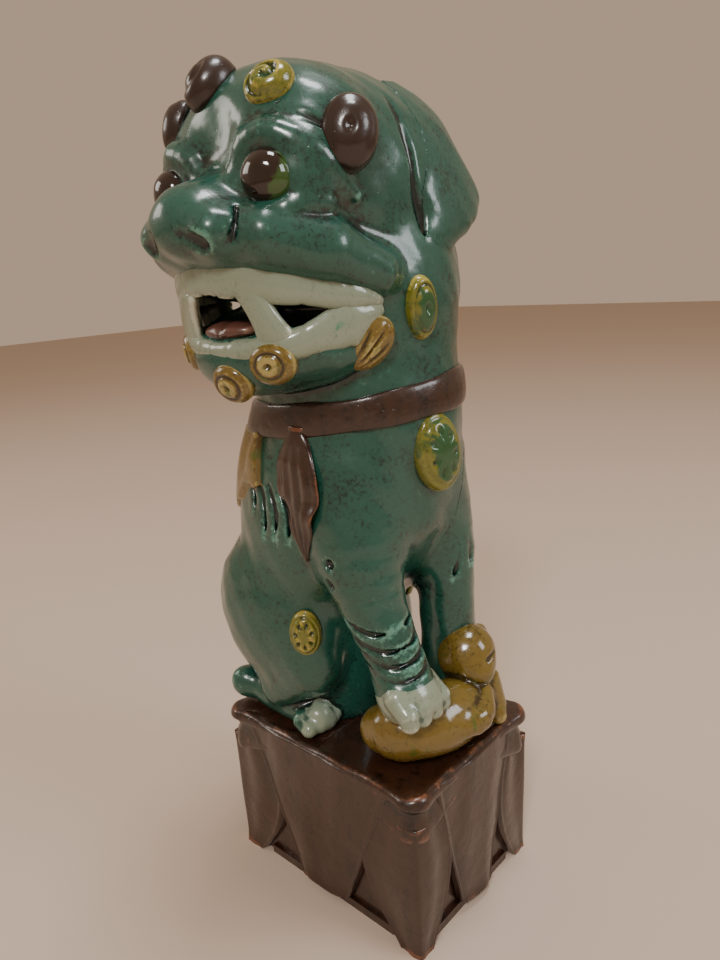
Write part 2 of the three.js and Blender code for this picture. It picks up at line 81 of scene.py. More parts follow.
EYES = (centre_of("left_eye") + centre_of("right_eye")) / 2
SKULL = EYES + [0.0, 31.0, -0.6]
print("skull centre", SKULL.round(1), "plinth half size", PLINTH_HALF.round(1))

# %% [markdown]
# ## Clay as a field
# Soft clay masses melt into one another where a thumb has smoothed the joint. A grid surface
# can't follow a paw growing out of a leg, so the modelled masses are made as a field instead: a
# function that says how far each point in space is outside the clay. Masses are joined by a
# smooth minimum, creases are carved by a smooth maximum, and the skin is drawn where the field
# is zero. Everything is computed on whole arrays.

# %% Masses and how they join
def ball(p, centre, radii, turn=None):
    """Distance to an ellipsoid: k0 (k0 - 1) / k1, with k0 = |p / r| and k1 = |p / r^2|.
    turn holds its turns about x, y and z, in degrees."""
    q = p - np.array(centre, np.float32)
    if turn:
        (cx, sx), (cy, sy), (cz, sz) = [(math.cos(math.radians(a)), math.sin(math.radians(a)))
                                        for a in turn]
        about_x = np.array([[1, 0, 0], [0, cx, -sx], [0, sx, cx]])
        about_y = np.array([[cy, 0, sy], [0, 1, 0], [-sy, 0, cy]])
        about_z = np.array([[cz, -sz, 0], [sz, cz, 0], [0, 0, 1]])
        q = q @ (about_z @ about_y @ about_x).astype(np.float32)
    r = np.array(radii, np.float32)
    k0 = np.sqrt(((q / r) ** 2).sum(-1)) + 1e-6
    k1 = np.sqrt(((q / r**2) ** 2).sum(-1)) + 1e-6
    return k0 * (k0 - 1) / k1


def roll(p, points, radii, stretch=(1, 1, 1)):
    """Distance to a coil of clay: the nearest point on a chain of straight stretches, less a
    radius that changes evenly along each. Space is divided by stretch first, so a coil can be
    an oval in section."""
    q = p / np.array(stretch, p.dtype)
    chain = np.array(points, float) / stretch
    nearest = None
    for a, b, ra, rb in zip(chain[:-1], chain[1:], radii[:-1], radii[1:]):
        along = (b - a).astype(p.dtype)
        t = np.clip(((q - a.astype(p.dtype)) @ along) / (along @ along), 0, 1)
        gap = q - a.astype(p.dtype) - t[..., None] * along
        d = np.sqrt((gap**2).sum(-1)) - (ra + (rb - ra) * t)
        nearest = d if nearest is None else np.minimum(nearest, d)
    return nearest * min(stretch)


def melt(fields, soft):
    """Smooth minimum of several fields: each pair is joined by a fillet about soft wide."""
    made = fields[0]
    for other in fields[1:]:
        h = np.clip(0.5 + 0.5 * (other - made) / soft, 0, 1)
        made = other + (made - other) * h - soft * h * (1 - h)
    return made


def carve(field, tool, soft):
    """Smooth maximum of a field and minus the tool: cuts the tool away with a softened edge."""
    return -melt([-field, tool], soft)


def bend(points, count=24):
    """A smooth curve through a few points (Catmull-Rom), as count points."""
    p = np.array(points, float)
    p = np.vstack([2 * p[0] - p[1], p, 2 * p[-1] - p[-2]])
    t = np.linspace(0, len(p) - 3 - 1e-9, count)
    k = t.astype(int)
    f = (t - k)[:, None]
    a, b, c, d = p[k], p[k + 1], p[k + 2], p[k + 3]
    return 0.5 * (2 * b + (c - a) * f + (2 * a - 5 * b + 4 * c - d) * f**2
                  + (3 * b - a - 3 * c + d) * f**3)


# %% Drawing the skin of a field
def corners_of(count):
    """Two slices along one axis: every grid line but the last, and every one but the first."""
    return [slice(0, count - 1), slice(1, count)]


def skin(field, low, high, cell):
    """The surface where a field is zero, as points and quads (surface nets).
    The field is sampled coarsely, and finely only near the surface. A cell that the surface
    crosses gets one vertex, at the mean of the crossings on its edges, and each crossed edge
    gets the quad of the four cells round it. Last, vertices are moved onto the true zero."""
    coarse = 4
    counts = (np.ceil((np.array(high) - low) / cell / coarse).astype(int) + 1)
    axes = [low[i] + cell * coarse * np.arange(counts[i]) for i in range(3)]
    rough = field(np.stack(np.meshgrid(*axes, indexing="ij"), -1).astype(np.float32))
    fine_counts = (counts - 1) * coarse + 1
    values = rough
    for axis in range(3):
        t = np.arange(fine_counts[axis]) / coarse
        k = np.minimum(t.astype(int), counts[axis] - 2)
        f = (t - k).reshape([-1 if i == axis else 1 for i in range(3)]).astype(np.float32)
        values = np.take(values, k, axis) * (1 - f) + np.take(values, k + 1, axis) * f
    near = np.abs(values) < 1.8 * cell * coarse
    index = np.argwhere(near)
    spots = (np.array(low) + index * cell).astype(np.float32)
    values[near] = field(spots)

    inside = values < 0
    shape = np.array(values.shape) - 1
    total = np.zeros((*shape, 3), np.float32)
    hits = np.zeros(shape, np.int16)
    for axis in range(3):
        a = [slice(None)] * 3
        b = [slice(None)] * 3
        a[axis], b[axis] = corners_of(values.shape[axis])
        va, vb = values[tuple(a)], values[tuple(b)]
        crossed = inside[tuple(a)] != inside[tuple(b)]
        t = np.where(crossed, va / np.where(crossed, va - vb, 1), 0)
        u, v = [i for i in range(3) if i != axis]
        for du in (0, 1):
            for dv in (0, 1):
                pick = [slice(None)] * 3
                pick[u] = corners_of(values.shape[u])[du]
                pick[v] = corners_of(values.shape[v])[dv]
                mark = crossed[tuple(pick)]
                hits += mark
                total[..., axis] += t[tuple(pick)]
                total[..., u] += du * mark
                total[..., v] += dv * mark
    used = hits > 0
    number = np.full(shape, -1)
    number[used] = np.arange(used.sum())
    cells = np.argwhere(used)
    points = np.array(low) + cell * (cells + total[used] / hits[used][:, None])

    quads = []
    for axis in range(3):
        u, v = (axis + 1) % 3, (axis + 2) % 3
        a = [slice(1, -1)] * 3
        b = [slice(1, -1)] * 3
        a[axis], b[axis] = corners_of(values.shape[axis])
        crossed = np.argwhere(inside[tuple(a)] != inside[tuple(b)])
        crossed[:, u] += 1
        crossed[:, v] += 1
        starts_inside = inside[tuple(crossed.T)]
        ring = []
        for du, dv in ((0, 0), (1, 0), (1, 1), (0, 1)):
            spot = crossed.copy()
            spot[:, u] -= 1 - du
            spot[:, v] -= 1 - dv
            ring.append(number[tuple(spot.T)])
        quad = np.stack(ring, 1)
        quad[~starts_inside] = quad[~starts_inside][:, ::-1]
        quads.append(quad)

    for _ in range(2):
        value = field(points.astype(np.float32))
        slope = slope_of(field, points)
        steep = (slope**2).sum(1) + 0.05
        points = points - slope * (np.clip(value, -cell, cell) / steep)[:, None]
    return points, np.vstack(quads)


def slope_of(field, points, step=0.15):
    """The slope of a field, from four samples at the corners of a tetrahedron."""
    corners = np.array([[1, -1, -1], [-1, -1, 1], [-1, 1, -1], [1, 1, 1]], float)
    return sum(c * field((points + step * c).astype(np.float32))[:, None] for c in corners) \
        / (4 * step)


def wave(p, size, seed):
    """Soft unevenness between -1 and 1: a sum of sines along seeded directions, each about
    size long."""
    draw = np.random.default_rng(seed)
    made = 0
    for _ in range(5):
        way = draw.normal(size=3)
        way *= 2 * math.pi / size / np.linalg.norm(way) * draw.uniform(0.7, 1.4)
        made = made + np.sin(p @ way.astype(np.float32) + draw.uniform(0, 6.28))
    return made / 5


# %% [markdown]
# ## Making a piece
# Every piece is a mesh whose place is in its points. Glaze lies thick in creases and runs thin
# on crests, so each piece carries two numbers at every point. The first is high in creases and
# where a body piece meets the seat or the cub her paw; it darkens the colour there, for thick glaze
# and painted shade together. `ridge` is high on sharp crests.

# %% Put points and faces into a mesh
def bulge_of(points, faces, rounds=6):
    """How sharply the surface bulges at each point, in 1/mm: positive on crests and negative
    in creases. It is the height of a point over the average of its neighbours, taken a few
    times over, divided by rounds / 2 times the mean square of the edges there."""
    n = len(points)
    a, b = faces.ravel(), np.roll(faces, -1, axis=1).ravel()
    count = np.bincount(a, minlength=n) + np.bincount(b, minlength=n) + 1e-9

    def spread(values):
        return (np.bincount(a, values[b], n) + np.bincount(b, values[a], n)) / count

    across = np.cross(points[faces[:, 2]] - points[faces[:, 0]],
                      points[faces[:, 3]] - points[faces[:, 1]])
    normal = np.stack([np.bincount(a, np.repeat(across[:, i], 4), n) for i in range(3)], 1)
    normal /= np.linalg.norm(normal, axis=1, keepdims=True) + 1e-9
    length = ((points[a] - points[b]) ** 2).sum(1)
    edge = (np.bincount(a, length, n) + np.bincount(b, length, n)) / count
    smooth = points
    for _ in range(rounds):
        smooth = np.stack([spread(smooth[:, i]) for i in range(3)], 1)
    bulge = 2 * ((points - smooth) * normal).sum(1) / (rounds * edge + 1e-6)
    for _ in range(2):
        bulge = spread(bulge)
    return bulge


def volume_of(points, faces):
    """Signed volume inside quads: a sixth of the sum of a . (b x c) over their triangles."""
    a, b, c, d = (points[faces[:, i]] for i in range(4))
    return ((a * np.cross(b, c)).sum() + (a * np.cross(c, d)).sum()) / 6


def add_piece(name, points, faces, slot, node, contact=None, extra=None, bulge=None,
              normals=None):
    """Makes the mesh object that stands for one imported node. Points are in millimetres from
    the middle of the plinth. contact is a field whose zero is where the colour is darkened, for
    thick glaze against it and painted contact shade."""
    if volume_of(points, faces) < 0:
        faces = faces[:, ::-1]
    mesh = bpy.data.meshes.new(name)
    mesh.vertices.add(len(points))
    mesh.vertices.foreach_set("co", ((points + MIDDLE) * MM).astype(np.float32).ravel())
    mesh.loops.add(faces.size)
    mesh.loops.foreach_set("vertex_index", faces.astype(np.int32).ravel())
    mesh.polygons.add(len(faces))
    mesh.polygons.foreach_set("loop_start", np.arange(0, faces.size, 4, dtype=np.int32))
    mesh.update(calc_edges=True)
    mesh.shade_smooth()
    if bulge is None:
        bulge = bulge_of(points, faces)
    if normals is not None:
        mesh.normals_split_custom_set_from_vertices(normals.tolist())
    # Darker colour in creases and near the contact field: thick glaze and painted shade together.
    pool_and_shade = np.clip((-bulge - 0.01) / 0.3, 0, 1)
    if contact is not None:
        gap = np.clip(contact(points.astype(np.float32)), 0, 9)
        pool_and_shade = np.maximum(pool_and_shade, 0.9 * np.exp(-gap / 1.1))
    marks = {"pool_and_shade": pool_and_shade, "ridge": np.clip((bulge - 0.1) / 0.4, 0, 1), **(extra or {})}
    for key, values in marks.items():
        layer = mesh.attributes.new(key, "FLOAT", "POINT")
        layer.data.foreach_set("value", np.asarray(values, np.float32))
    piece = bpy.data.objects.new(name, mesh)
    bpy.context.scene.collection.objects.link(piece)
    mesh.materials.append(GLAZES[slot])
    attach(piece, "root")
    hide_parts(node)

# %% [markdown]
# ## Lofted pieces
# Thin or regular things, such as cloth, straps, lips and eyes, are made as rings of points laid
# one after another. Neighbouring rings are joined by quads, and the two ends are closed by
# ladders of quads across the ring.

# %% Rings into a closed piece
def loft(rings, endless=False):
    """Points and quads of rows of rings, shape (rows, around, 3). Each end is closed by a
    ladder from one half of the ring to the other, or the last ring meets the first."""
    rings = np.asarray(rings, float)
    rows, around, _ = rings.shape
    index = np.arange(rows * around).reshape(rows, around)
    if endless:
        index = np.vstack([index, index[:1]])
    index = np.hstack([index, index[:, :1]])
    quads = np.stack([index[:-1, :-1], index[:-1, 1:], index[1:, 1:], index[1:, :-1]], -1)
    faces = [quads.reshape(-1, 4)]
    if not endless:
        i = np.arange(around // 2 - 1)
        rung = np.stack([i, i + 1, around - 2 - i, around - 1 - i], 1)
        faces += [rung[:, ::-1], rung + (rows - 1) * around]
    return rings.reshape(-1, 3), np.vstack(faces)


def along_path(path, wide, thick, across, around):
    """Rings carried along a path. Each ring is an ellipse square to the path, with half sizes
    wide (towards across) and thick."""
    path = np.asarray(path, float)
    way = np.gradient(path, axis=0)
    way /= np.linalg.norm(way, axis=1, keepdims=True)
    across = np.broadcast_to(np.asarray(across, float), path.shape)
    side = across - (across * way).sum(1, keepdims=True) * way
    side /= np.linalg.norm(side, axis=1, keepdims=True)
    up = np.cross(way, side)
    t = np.linspace(0, 2 * math.pi, around, endpoint=False) + math.pi / around
    wide, thick = (np.broadcast_to(v, len(path))[:, None, None] for v in (wide, thick))
    return path[:, None] + wide * np.cos(t)[None, :, None] * side[:, None] \
        + thick * np.sin(t)[None, :, None] * up[:, None]


def tapered(t, start, end):
    """A width that swells from nothing over the share start and dies away over the share end."""
    rise = np.clip(t / start, 0, 1)
    fall = np.clip((1 - t) / end, 0, 1)
    return np.maximum(np.sqrt(1 - (1 - rise) ** 2) * np.sqrt(1 - (1 - fall) ** 2), 0.02)


def frame_on(out):
    """Right, up and out, three square unit directions, for something that faces out."""
    out = np.array(out, float) / np.linalg.norm(out)
    right = np.cross((0, 0, 1), out)
    right /= np.linalg.norm(right)
    return right, np.cross(out, right), out


def dome(width, height, proud, relief, rows=30, around=72):
    """Rings of a pressed sprig on a flat ground, in its own right, up, out directions. The
    radius runs from the back's middle, 1 mm down, round the rim and over the face to its
    middle, and relief(r, angle) is added to the height of the face, where r is 1 at the rim."""
    angle = np.linspace(0, 2 * math.pi, around, endpoint=False) + math.pi / around
    back = np.linspace(0.03, 1, 5)
    face = np.linspace(0, math.pi / 2, rows)[1:]
    r = np.maximum(np.concatenate([back, np.cos(face)])[:, None], 0.015)
    z = np.concatenate([np.full(len(back), -1.0), np.sin(face) ** 0.8 * proud])[:, None]
    front = np.concatenate([np.zeros(len(back)), np.ones(len(face))])[:, None]
    z = z + front * relief(r, angle[None, :]) * np.clip(4 * (1.02 - r), 0, 1)
    x = r * width / 2 * np.cos(angle)
    y = r * height / 2 * np.sin(angle)
    return np.stack([x, y, np.broadcast_to(z, x.shape)], -1)


def place(rings, at, out, spin=0.0):
    """Turns a sprig's rings by spin degrees in its own plane, then lays them at a point,
    facing out."""
    right, up, out = frame_on(out)
    c, s = math.cos(math.radians(spin)), math.sin(math.radians(spin))
    x, y, z = rings[..., 0], rings[..., 1], rings[..., 2]
    x, y = c * x - s * y, s * x + c * y
    return np.array(at) + x[..., None] * right + y[..., None] * up + z[..., None] * out


# %% [markdown]
# ## Glazes
# The glazes are lead glazes coloured with copper, manganese and iron. Over one body of clay
# they look like deep coloured glass: thin and pale on crests, dark where they lie thick, mottled
# with fine crystals, pricked with pinholes and very glossy. Each glaze mixes three tones by
# the piece's own crease-and-contact number, which adds painted shade to the thick glaze, its
# ridge number and noise at three sizes. The gloss comes from the shader alone.

# %% How a glaze is mixed
def shade(nodes, links):
    """Short ways to make and join nodes in one material."""
    def feed(socket, value):
        if isinstance(value, (int, float)):
            socket.default_value = value
        elif isinstance(value, tuple):
            socket.default_value = (*value, 1)
        else:
            links.new(value, socket)

    def sum_of(kind, a, b):
        node = nodes.new("ShaderNodeMath")
        node.operation = kind
        feed(node.inputs[0], a)
        feed(node.inputs[1], b)
        return node.outputs[0]

    def noise(vector, scale, detail=3.0, distortion=0.0, rough=0.55):
        node = nodes.new("ShaderNodeTexNoise")
        node.inputs["Scale"].default_value = scale
        node.inputs["Detail"].default_value = detail
        node.inputs["Distortion"].default_value = distortion
        node.inputs["Roughness"].default_value = rough
        links.new(vector, node.inputs["Vector"])
        return node.outputs["Fac"]

    def ramp(value, low, high):
        node = nodes.new("ShaderNodeMapRange")
        node.interpolation_type = "SMOOTHSTEP"
        node.inputs["From Min"].default_value = low
        node.inputs["From Max"].default_value = high
        links.new(value, node.inputs["Value"])
        return node.outputs[0]

    def mix(factor, a, b):
        node = nodes.new("ShaderNodeMix")
        node.data_type = "RGBA"
        feed(node.inputs[0], factor)
        feed(node.inputs[6], a)
        feed(node.inputs[7], b)
        return node.outputs[2]

    plus, minus, times = [partial(sum_of, kind) for kind in ("ADD", "SUBTRACT", "MULTIPLY")]
    return plus, minus, times, noise, ramp, mix


def tone(code):
    """A linear colour from a hex code."""
    channels = [int(code[i:i + 2], 16) / 255 for i in (0, 2, 4)]
    return tuple(c / 12.92 if c < 0.04045 else ((c + 0.055) / 1.055) ** 2.4 for c in channels)


def glaze(name, deep, body, thin, stain=None, stain_from=0.62, gloss=0.1, mottle=1.0,
          streaks=0.0, thin_at=0.35, pits=0.5, bump=0.35):
    """A glaze: deep in creases and by contacts, for thick glaze and painted shade, body over most
    of the piece, thin on crests.
    stain is a second glaze that has run into it where a large noise is above stain_from.
    The three noises are clouds, flecks and downward runs; pinholes come in clusters."""
    material = bpy.data.materials.new(name)
    material.use_nodes = True
    nodes, links = material.node_tree.nodes, material.node_tree.links
    shader = nodes["Principled BSDF"]
    plus, minus, times, noise, ramp, mix = shade(nodes, links)
    where = nodes.new("ShaderNodeTexCoord").outputs["Object"]
    run = nodes.new("ShaderNodeMapping")
    run.inputs["Scale"].default_value = (1, 1, 0.22)
    links.new(where, run.inputs["Vector"])

    def attribute(key):
        node = nodes.new("ShaderNodeAttribute")
        node.attribute_name = key
        return node.outputs["Fac"]

    cloud = noise(where, 70, 4, 0.6, 0.5)
    fleck = noise(where, 760, 4, 0.3, 0.75)
    streak = noise(run.outputs[0], 260, 3, 0.3)
    pool_and_shade, ridge = attribute("pool_and_shade"), attribute("ridge")
    uneven = times(minus(cloud, 0.5), 1.1 * mottle)
    grainy = times(minus(fleck, 0.5), 2.1 * mottle)
    ran = times(minus(streak, 0.5), 2.0 * streaks)
    patchy = plus(plus(uneven, grainy), ran)
    # Deep tone in creases and by contacts: thick glaze and painted shade together.
    dark = plus(times(pool_and_shade, 1.25), plus(patchy, 0.18))
    pale = minus(times(ridge, 1.3), times(patchy, 0.8))
    colour = mix(ramp(dark, 0.15, 1.0), tone(body), tone(deep))
    colour = mix(ramp(pale, thin_at, thin_at + 0.75), colour, tone(thin))
    if stain:
        seep = plus(noise(where, 140, 3, 1.2), times(attribute("seep"), 0.6))
        colour = mix(ramp(seep, stain_from, stain_from + 0.16), colour, tone(stain))
    prick = nodes.new("ShaderNodeTexVoronoi")
    prick.inputs["Scale"].default_value = 640
    links.new(where, prick.inputs["Vector"])
    pit = ramp(prick.outputs["Distance"], 0.2, 0.08)
    sparse = ramp(noise(where, 130, 2), 0.52, 0.66)
    pit = times(times(pit, sparse), pits)
    colour = mix(pit, colour, tone(deep))
    links.new(colour, shader.inputs["Base Color"])
    smear = noise(where, 90, 3, 0.5)
    rough = nodes.new("ShaderNodeMapRange")
    rough.inputs["To Min"].default_value = gloss * 0.6
    rough.inputs["To Max"].default_value = gloss * 1.7
    links.new(smear, rough.inputs["Value"])
    links.new(rough.outputs[0], shader.inputs["Roughness"])
    shader.inputs["IOR"].default_value = 1.58
    shader.inputs["Coat Weight"].default_value = 0.3
    shader.inputs["Coat Roughness"].default_value = 0.1
    skin_noise = noise(where, 300, 2, 0.2)
    wavy = noise(where, 110, 2)
    height = minus(plus(times(skin_noise, 0.35), wavy), times(pit, 0.5))
    dent = nodes.new("ShaderNodeBump")
    dent.inputs["Strength"].default_value = bump
    dent.inputs["Distance"].default_value = 0.0006
    links.new(height, dent.inputs["Height"])
    links.new(dent.outputs[0], shader.inputs["Normal"])
    links.new(dent.outputs[0], shader.inputs["Coat Normal"])
    return material


GLAZES = {
    "green_glaze": glaze("green copper glaze", "041a17", "205043", "5a917f", mottle=1.3,
                         gloss=0.22, thin_at=0.28, pits=0.35, stain="8a9a86", stain_from=0.86),
    "brown_glaze": glaze("brown manganese glaze", "100805", "341d12", "6b4027", gloss=0.26,
                         streaks=1.1, thin_at=0.45, bump=0.6, mottle=1.1, stain="26130c",
                         stain_from=0.8),
    "amber_glaze": glaze("amber iron glaze", "35290e", "705c24", "a8985a", stain="4f5a20",
                         stain_from=0.6, gloss=0.16, mottle=1.2),
    "olive_glaze": glaze("olive mixed glaze", "24320e", "6f6f22", "b3a24a", stain="25502a",
                         stain_from=0.58, gloss=0.15, mottle=1.2),
    "cream_glaze": glaze("cream clear glaze", "3f5547", "87937f", "bfc3b0", gloss=0.17,
                         stain="4b8069", stain_from=0.64, mottle=0.9),
    "dark_glaze": glaze("dark eye glaze", "0b0705", "24140d", "5e4026", gloss=0.09,
                        stain="33501f", stain_from=0.72, bump=0.15),
    "plum_glaze": glaze("plum bare glaze", "2b1b17", "5d3a31", "85604f", gloss=0.28),
}
for node_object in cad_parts.values():
    for spot in node_object.material_slots:
        key = spot.material.name.split(".")[0] if spot.material else ""
        spot.material = GLAZES.get(key, GLAZES["brown_glaze"])
print("glazes:", ", ".join(GLAZES))

# %% [markdown]
# ## The lion's masses
# The trunk and neck are one column of clay whose section is an oval that changes with height.
# The skull, muzzle, jaw, haunches and limbs are set into it and melted at the joints.

# %% The trunk and neck as one column
COLUMN = np.array([
    # height, middle in x, half depth, half width
    [50.0, -19.0, 20.0, 20.0],
    [56.0, -19.0, 21.0, 20.5],
    [70.0, -20.0, 23.6, 24.0],
    [85.0, -20.0, 25.8, 25.8],
    [100.0, -17.0, 28.9, 27.6],
    [115.0, -11.0, 33.8, 29.4],
    [128.0, -7.5, 37.2, 29.6],
    [144.0, -4.0, 36.3, 29.0],
    [156.0, 0.0, 34.2, 28.4],
    [164.0, 1.5, 32.2, 28.2],
    [177.0, 1.0, 31.6, 28.8],
    [194.0, 0.6, 33.0, 31.0],
    [206.0, -0.6, 32.0, 30.5],
    [218.0, -2.0, 27.0, 26.0],
])
COLUMN_CURVE = bend(COLUMN, 200)


def column_at(z):
    """Middle in x, half depth and half width of the column at a height."""
    return [np.interp(z, COLUMN_CURVE[:, 0], COLUMN_CURVE[:, i]).astype(np.float32)
            for i in (1, 2, 3)]


def column(p):
    """Distance to the column, about (k - 1) times the radius in that direction, cut off at
    its top and foot."""
    x0, deep, wide = column_at(p[..., 2])
    x, y = p[..., 0] - x0, p[..., 1]
    k = np.sqrt((x / deep) ** 2 + (y / wide) ** 2) + 1e-6
    radius = np.sqrt(x * x + y * y) / k + 1e-3
    ends = np.maximum(p[..., 2] - COLUMN[-1, 0], COLUMN[0, 0] - p[..., 2])
    return np.maximum((k - 1) * radius * 0.94, ends)


NEAR, OFF = -1, 1  # her right side, which is -Y, and her left


def haunch(p, hand):
    """The haunch is an egg leaning back over the folded hind leg."""
    back = 0 if hand == NEAR else -5.5
    egg = ball(p, (-22.4 + back, hand * 17.9, 93), (25, 14.6, 27.5), (0, -15, 0))
    knee = ball(p, (-6 + back, hand * 20.5, 85), (9, 7.5, 12), (0, -20, 0))
    shin = roll(p, [(-5 + back, hand * 21, 78), (-20, hand * 22, 67)], [7, 6.5])
    return melt([egg, knee, shin], 7)


def hind_paw(p, hand):
    """The hind foot lies along the seat: heel, sole and four toes with carved gaps."""
    foot = roll(p, [(-37, hand * 20, 62.5), (-20, hand * 20.5, 61.5), (-6, hand * 20.5, 60.6)],
                [5.4, 5.8, 5.4])
    hock = ball(p, (-38, hand * 24, 63.8), (5, 4.6, 5.4))
    made = melt([foot, hock], 3)
    for k in range(4):
        across = hand * (15.6 + 3.3 * k)
        toe = roll(p, [(-8, across, 60.6), (-2.8 - abs(k - 1.4), across + hand * 0.4, 59.2)],
                   [3.1, 2.9])
        made = melt([made, toe], 1.4)
    return made


NEAR_LEG = [(11, -15, 144), (15.2, -18.8, 124), (20.4, -19.2, 107), (25.6, -18.4, 94),
            (28.8, -17.6, 84)]
OFF_LEG = [(14, 13, 142), (19, 15, 120), (21, 15, 98), (21, 15, 66)]


def foreleg(p, hand):
    """A foreleg is a thick coil from shoulder to wrist, ringed with folds above the paw."""
    if hand == NEAR:
        spots, radii, count = NEAR_LEG, [14.4, 13.0, 9.5, 8.4, 8.8], 14
    else:
        spots, radii, count = OFF_LEG, [13.0, 10.8, 9.0, 9.0], 10
    share = np.linspace(0, len(spots) - 1, count)
    return roll(p, bend(spots, count), np.interp(share, range(len(spots)), radii))


def near_paw(p):
    """Her right paw presses down on the cub: a pad with four toes that end in claws."""
    made = ball(p, (30.5, -17.8, 80.5), (9.4, 9.4, 8.6))
    for k in range(4):
        side = -25.2 + 4.7 * k
        front = 38.4 - 0.4 * (k - 1.6) ** 2
        toe = roll(p, [(32, side * 0.92 - 1.5, 83), (front - 1.2, side, 79.5),
                       (front - 0.6, side, 77.4)], [3.6, 3.3, 2.9])
        made = melt([made, toe], 1.4)
    return made


def off_paw(p):
    """Her left paw stands flat on the seat behind the cub."""
    made = ball(p, (24, 14, 63.4), (9.5, 8.4, 7))
    for k in range(4):
        side = 7.8 + 4.2 * k
        made = melt([made, roll(p, [(26, side, 63), (33, side, 60)], [3, 2.4])], 0.8)
    return made


# %% [markdown]
# ## The head
# The head is modelled from offsets to the skull's centre: a boxy brow, a broad nose with two
# slit nostrils, rolls of skin over the lips, and lids laid over the eyes as thin coils.
# A mouth is hollowed between the muzzle and the jaw. In the offsets, -y is forwards, and her
# left, with a plus in x, is the side with the large temple curl.

# %% Skull, muzzle, jaw and mouth
def on_skull(*offset):
    """A point given as an offset from the skull's centre."""
    return tuple(np.array(offset, float) + SKULL)


def skull(p):
    """The skull and forehead, with a shallow hollow between the brows."""
    dome_of_head = ball(p, on_skull(0, 1, -1), (32, 32.5, 31.5))
    forehead = ball(p, on_skull(-1, -11.5, 11), (31, 20.5, 19.5))
    back = ball(p, on_skull(1, 8, 2), (29.5, 26.5, 27.5))
    sockets = [ball(p, on_skull(x * 15, -21.5, 1), (15, 12, 15)) for x in (-1, 1)]
    made = melt([dome_of_head, forehead, back, *sockets], 6)
    return carve(made, ball(p, on_skull(-1, -36, 13), (6.5, 5, 13)), 7)


def muzzle(p):
    """A broad muzzle: two rolls of skin run from the nose back to the corners of the mouth."""
    made = ball(p, on_skull(0, -22, -17), (25.5, 18, 11))
    for hand in (-1, 1):
        cheek = roll(p, [on_skull(hand * 6, -36.5, -13), on_skull(hand * 17, -33.2, -12.2),
                         on_skull(hand * 25.5, -21.5, -16), on_skull(hand * 29.5, -9, -21.5)],
                     [6.6, 7.8, 7.8, 5.8])
        made = melt([made, cheek], 2.5)
    return made


def nose(p):
    """The nose is a wide block with rounded wings and a flat bridge."""
    made = ball(p, on_skull(0, -37.5, -9.4), (15, 12.5, 8.6))
    bridge = roll(p, [on_skull(0, -30, -2.5), on_skull(0, -43, -5.5)], [7.5, 6.0], (1.3, 1, 1))
    made = melt([made, bridge], 4)
    for hand in (-1, 1):
        wing = ball(p, on_skull(hand * 9.5, -40.5, -10.5), (6.6, 8, 6.2))
        made = melt([made, wing], 2)
        nostril = roll(p, [on_skull(hand * 6.2, -50.0, -11.0), on_skull(hand * 10.2, -47.8, -14.0)],
                       [1.8, 2.7])
        made = carve(made, nostril, 1.0)
    return made


def jaw(p):
    """The lower jaw with a rounded chin."""
    return melt([ball(p, on_skull(0, -13, -39.5), (28.5, 24, 12.5)),
                 ball(p, on_skull(0, -27, -41), (17, 12, 9.5))], 5)


def mouth(p):
    """The open mouth runs from the lips back to both corners."""
    front = ball(p, on_skull(2, -36, -29.5), (19, 17, 5.6))
    near_corner = ball(p, on_skull(16, -20, -30), (14, 9, 4.6))
    far_corner = ball(p, on_skull(-21, -18, -30), (8, 6, 4))
    return np.minimum.reduce([front, near_corner, far_corner])


def brow(p, hand):
    """A thick lid arches over the eye and runs down to its outer corner."""
    path = bend([on_skull(hand * 7.5, -31.4, 3.5), on_skull(hand * 11.5, -31.2, 8.5),
                 on_skull(hand * 18.5, -30.0, 10), on_skull(hand * 25.5, -24.6, 5),
                 on_skull(hand * 29.5, -14.5, -4)], 12)
    return roll(p, path, np.interp(np.linspace(0, 1, 12), [0, 0.4, 0.8, 1], [1.8, 3.2, 3.0, 1.0]))


def under_lid(p, hand):
    """A thin coil under the eye, from beside the nose to the outer corner."""
    path = bend([on_skull(hand * 11, -33.2, -5.5), on_skull(hand * 18, -33.0, -7.2),
                 on_skull(hand * 24, -28.4, -5.5), on_skull(hand * 27.5, -22.5, -5.6)], 10)
    return roll(p, path, np.interp(np.linspace(0, 1, 10), [0, 0.5, 1], [1.6, 2.6, 1.2]))


EAR = np.array([
    # z, x, y of the middle, half depth, half thickness, all from the skull's centre
    [26.0, 17.0, 13.5, 2.4, 1.6], [22.0, 20.6, 14.8, 7.4, 2.6], [14.6, 25.6, 15.8, 10.0, 3.2],
    [2.5, 29.4, 18.7, 12.8, 3.6], [-6.5, 31.4, 19.8, 13.2, 3.6], [-12.5, 32.0, 16.4, 9.6, 3.2],
    [-18.5, 31.6, 12.0, 3.6, 2.0],
])
EAR_CURVE = bend(EAR, 60)[::-1]


def ear(p, hand):
    """The ear is a smooth hanging flap. At each height its section is a superellipse,
    |depth|^2.4 + |thickness|^2.4 = 1, whose middle and sizes follow a curve."""
    q = p - np.array(SKULL, np.float32)
    z = q[..., 2]
    x, y, deep, thick = (np.interp(z, EAR_CURVE[:, 0], EAR_CURVE[:, i]).astype(np.float32)
                         for i in (1, 2, 3, 4))
    k = (np.abs((q[..., 1] - y) / deep) ** 2.4
         + np.abs((hand * q[..., 0] - x) / thick) ** 2.4 + 1e-6) ** (1 / 2.4)
    ends = np.maximum(z - EAR[0, 0], EAR[-1, 0] - z)
    return np.maximum((k - 1) * thick, ends)

# %% [markdown]
# ## One skin, several pieces
# Each mass is a piece of its own, but where two meet the clay was smoothed across. So every
# piece is drawn from the same melted field, and is cut off where a neighbour is nearer. One of
# each two neighbours runs on a little under the other, 0.05 mm lower, so that no gap shows.

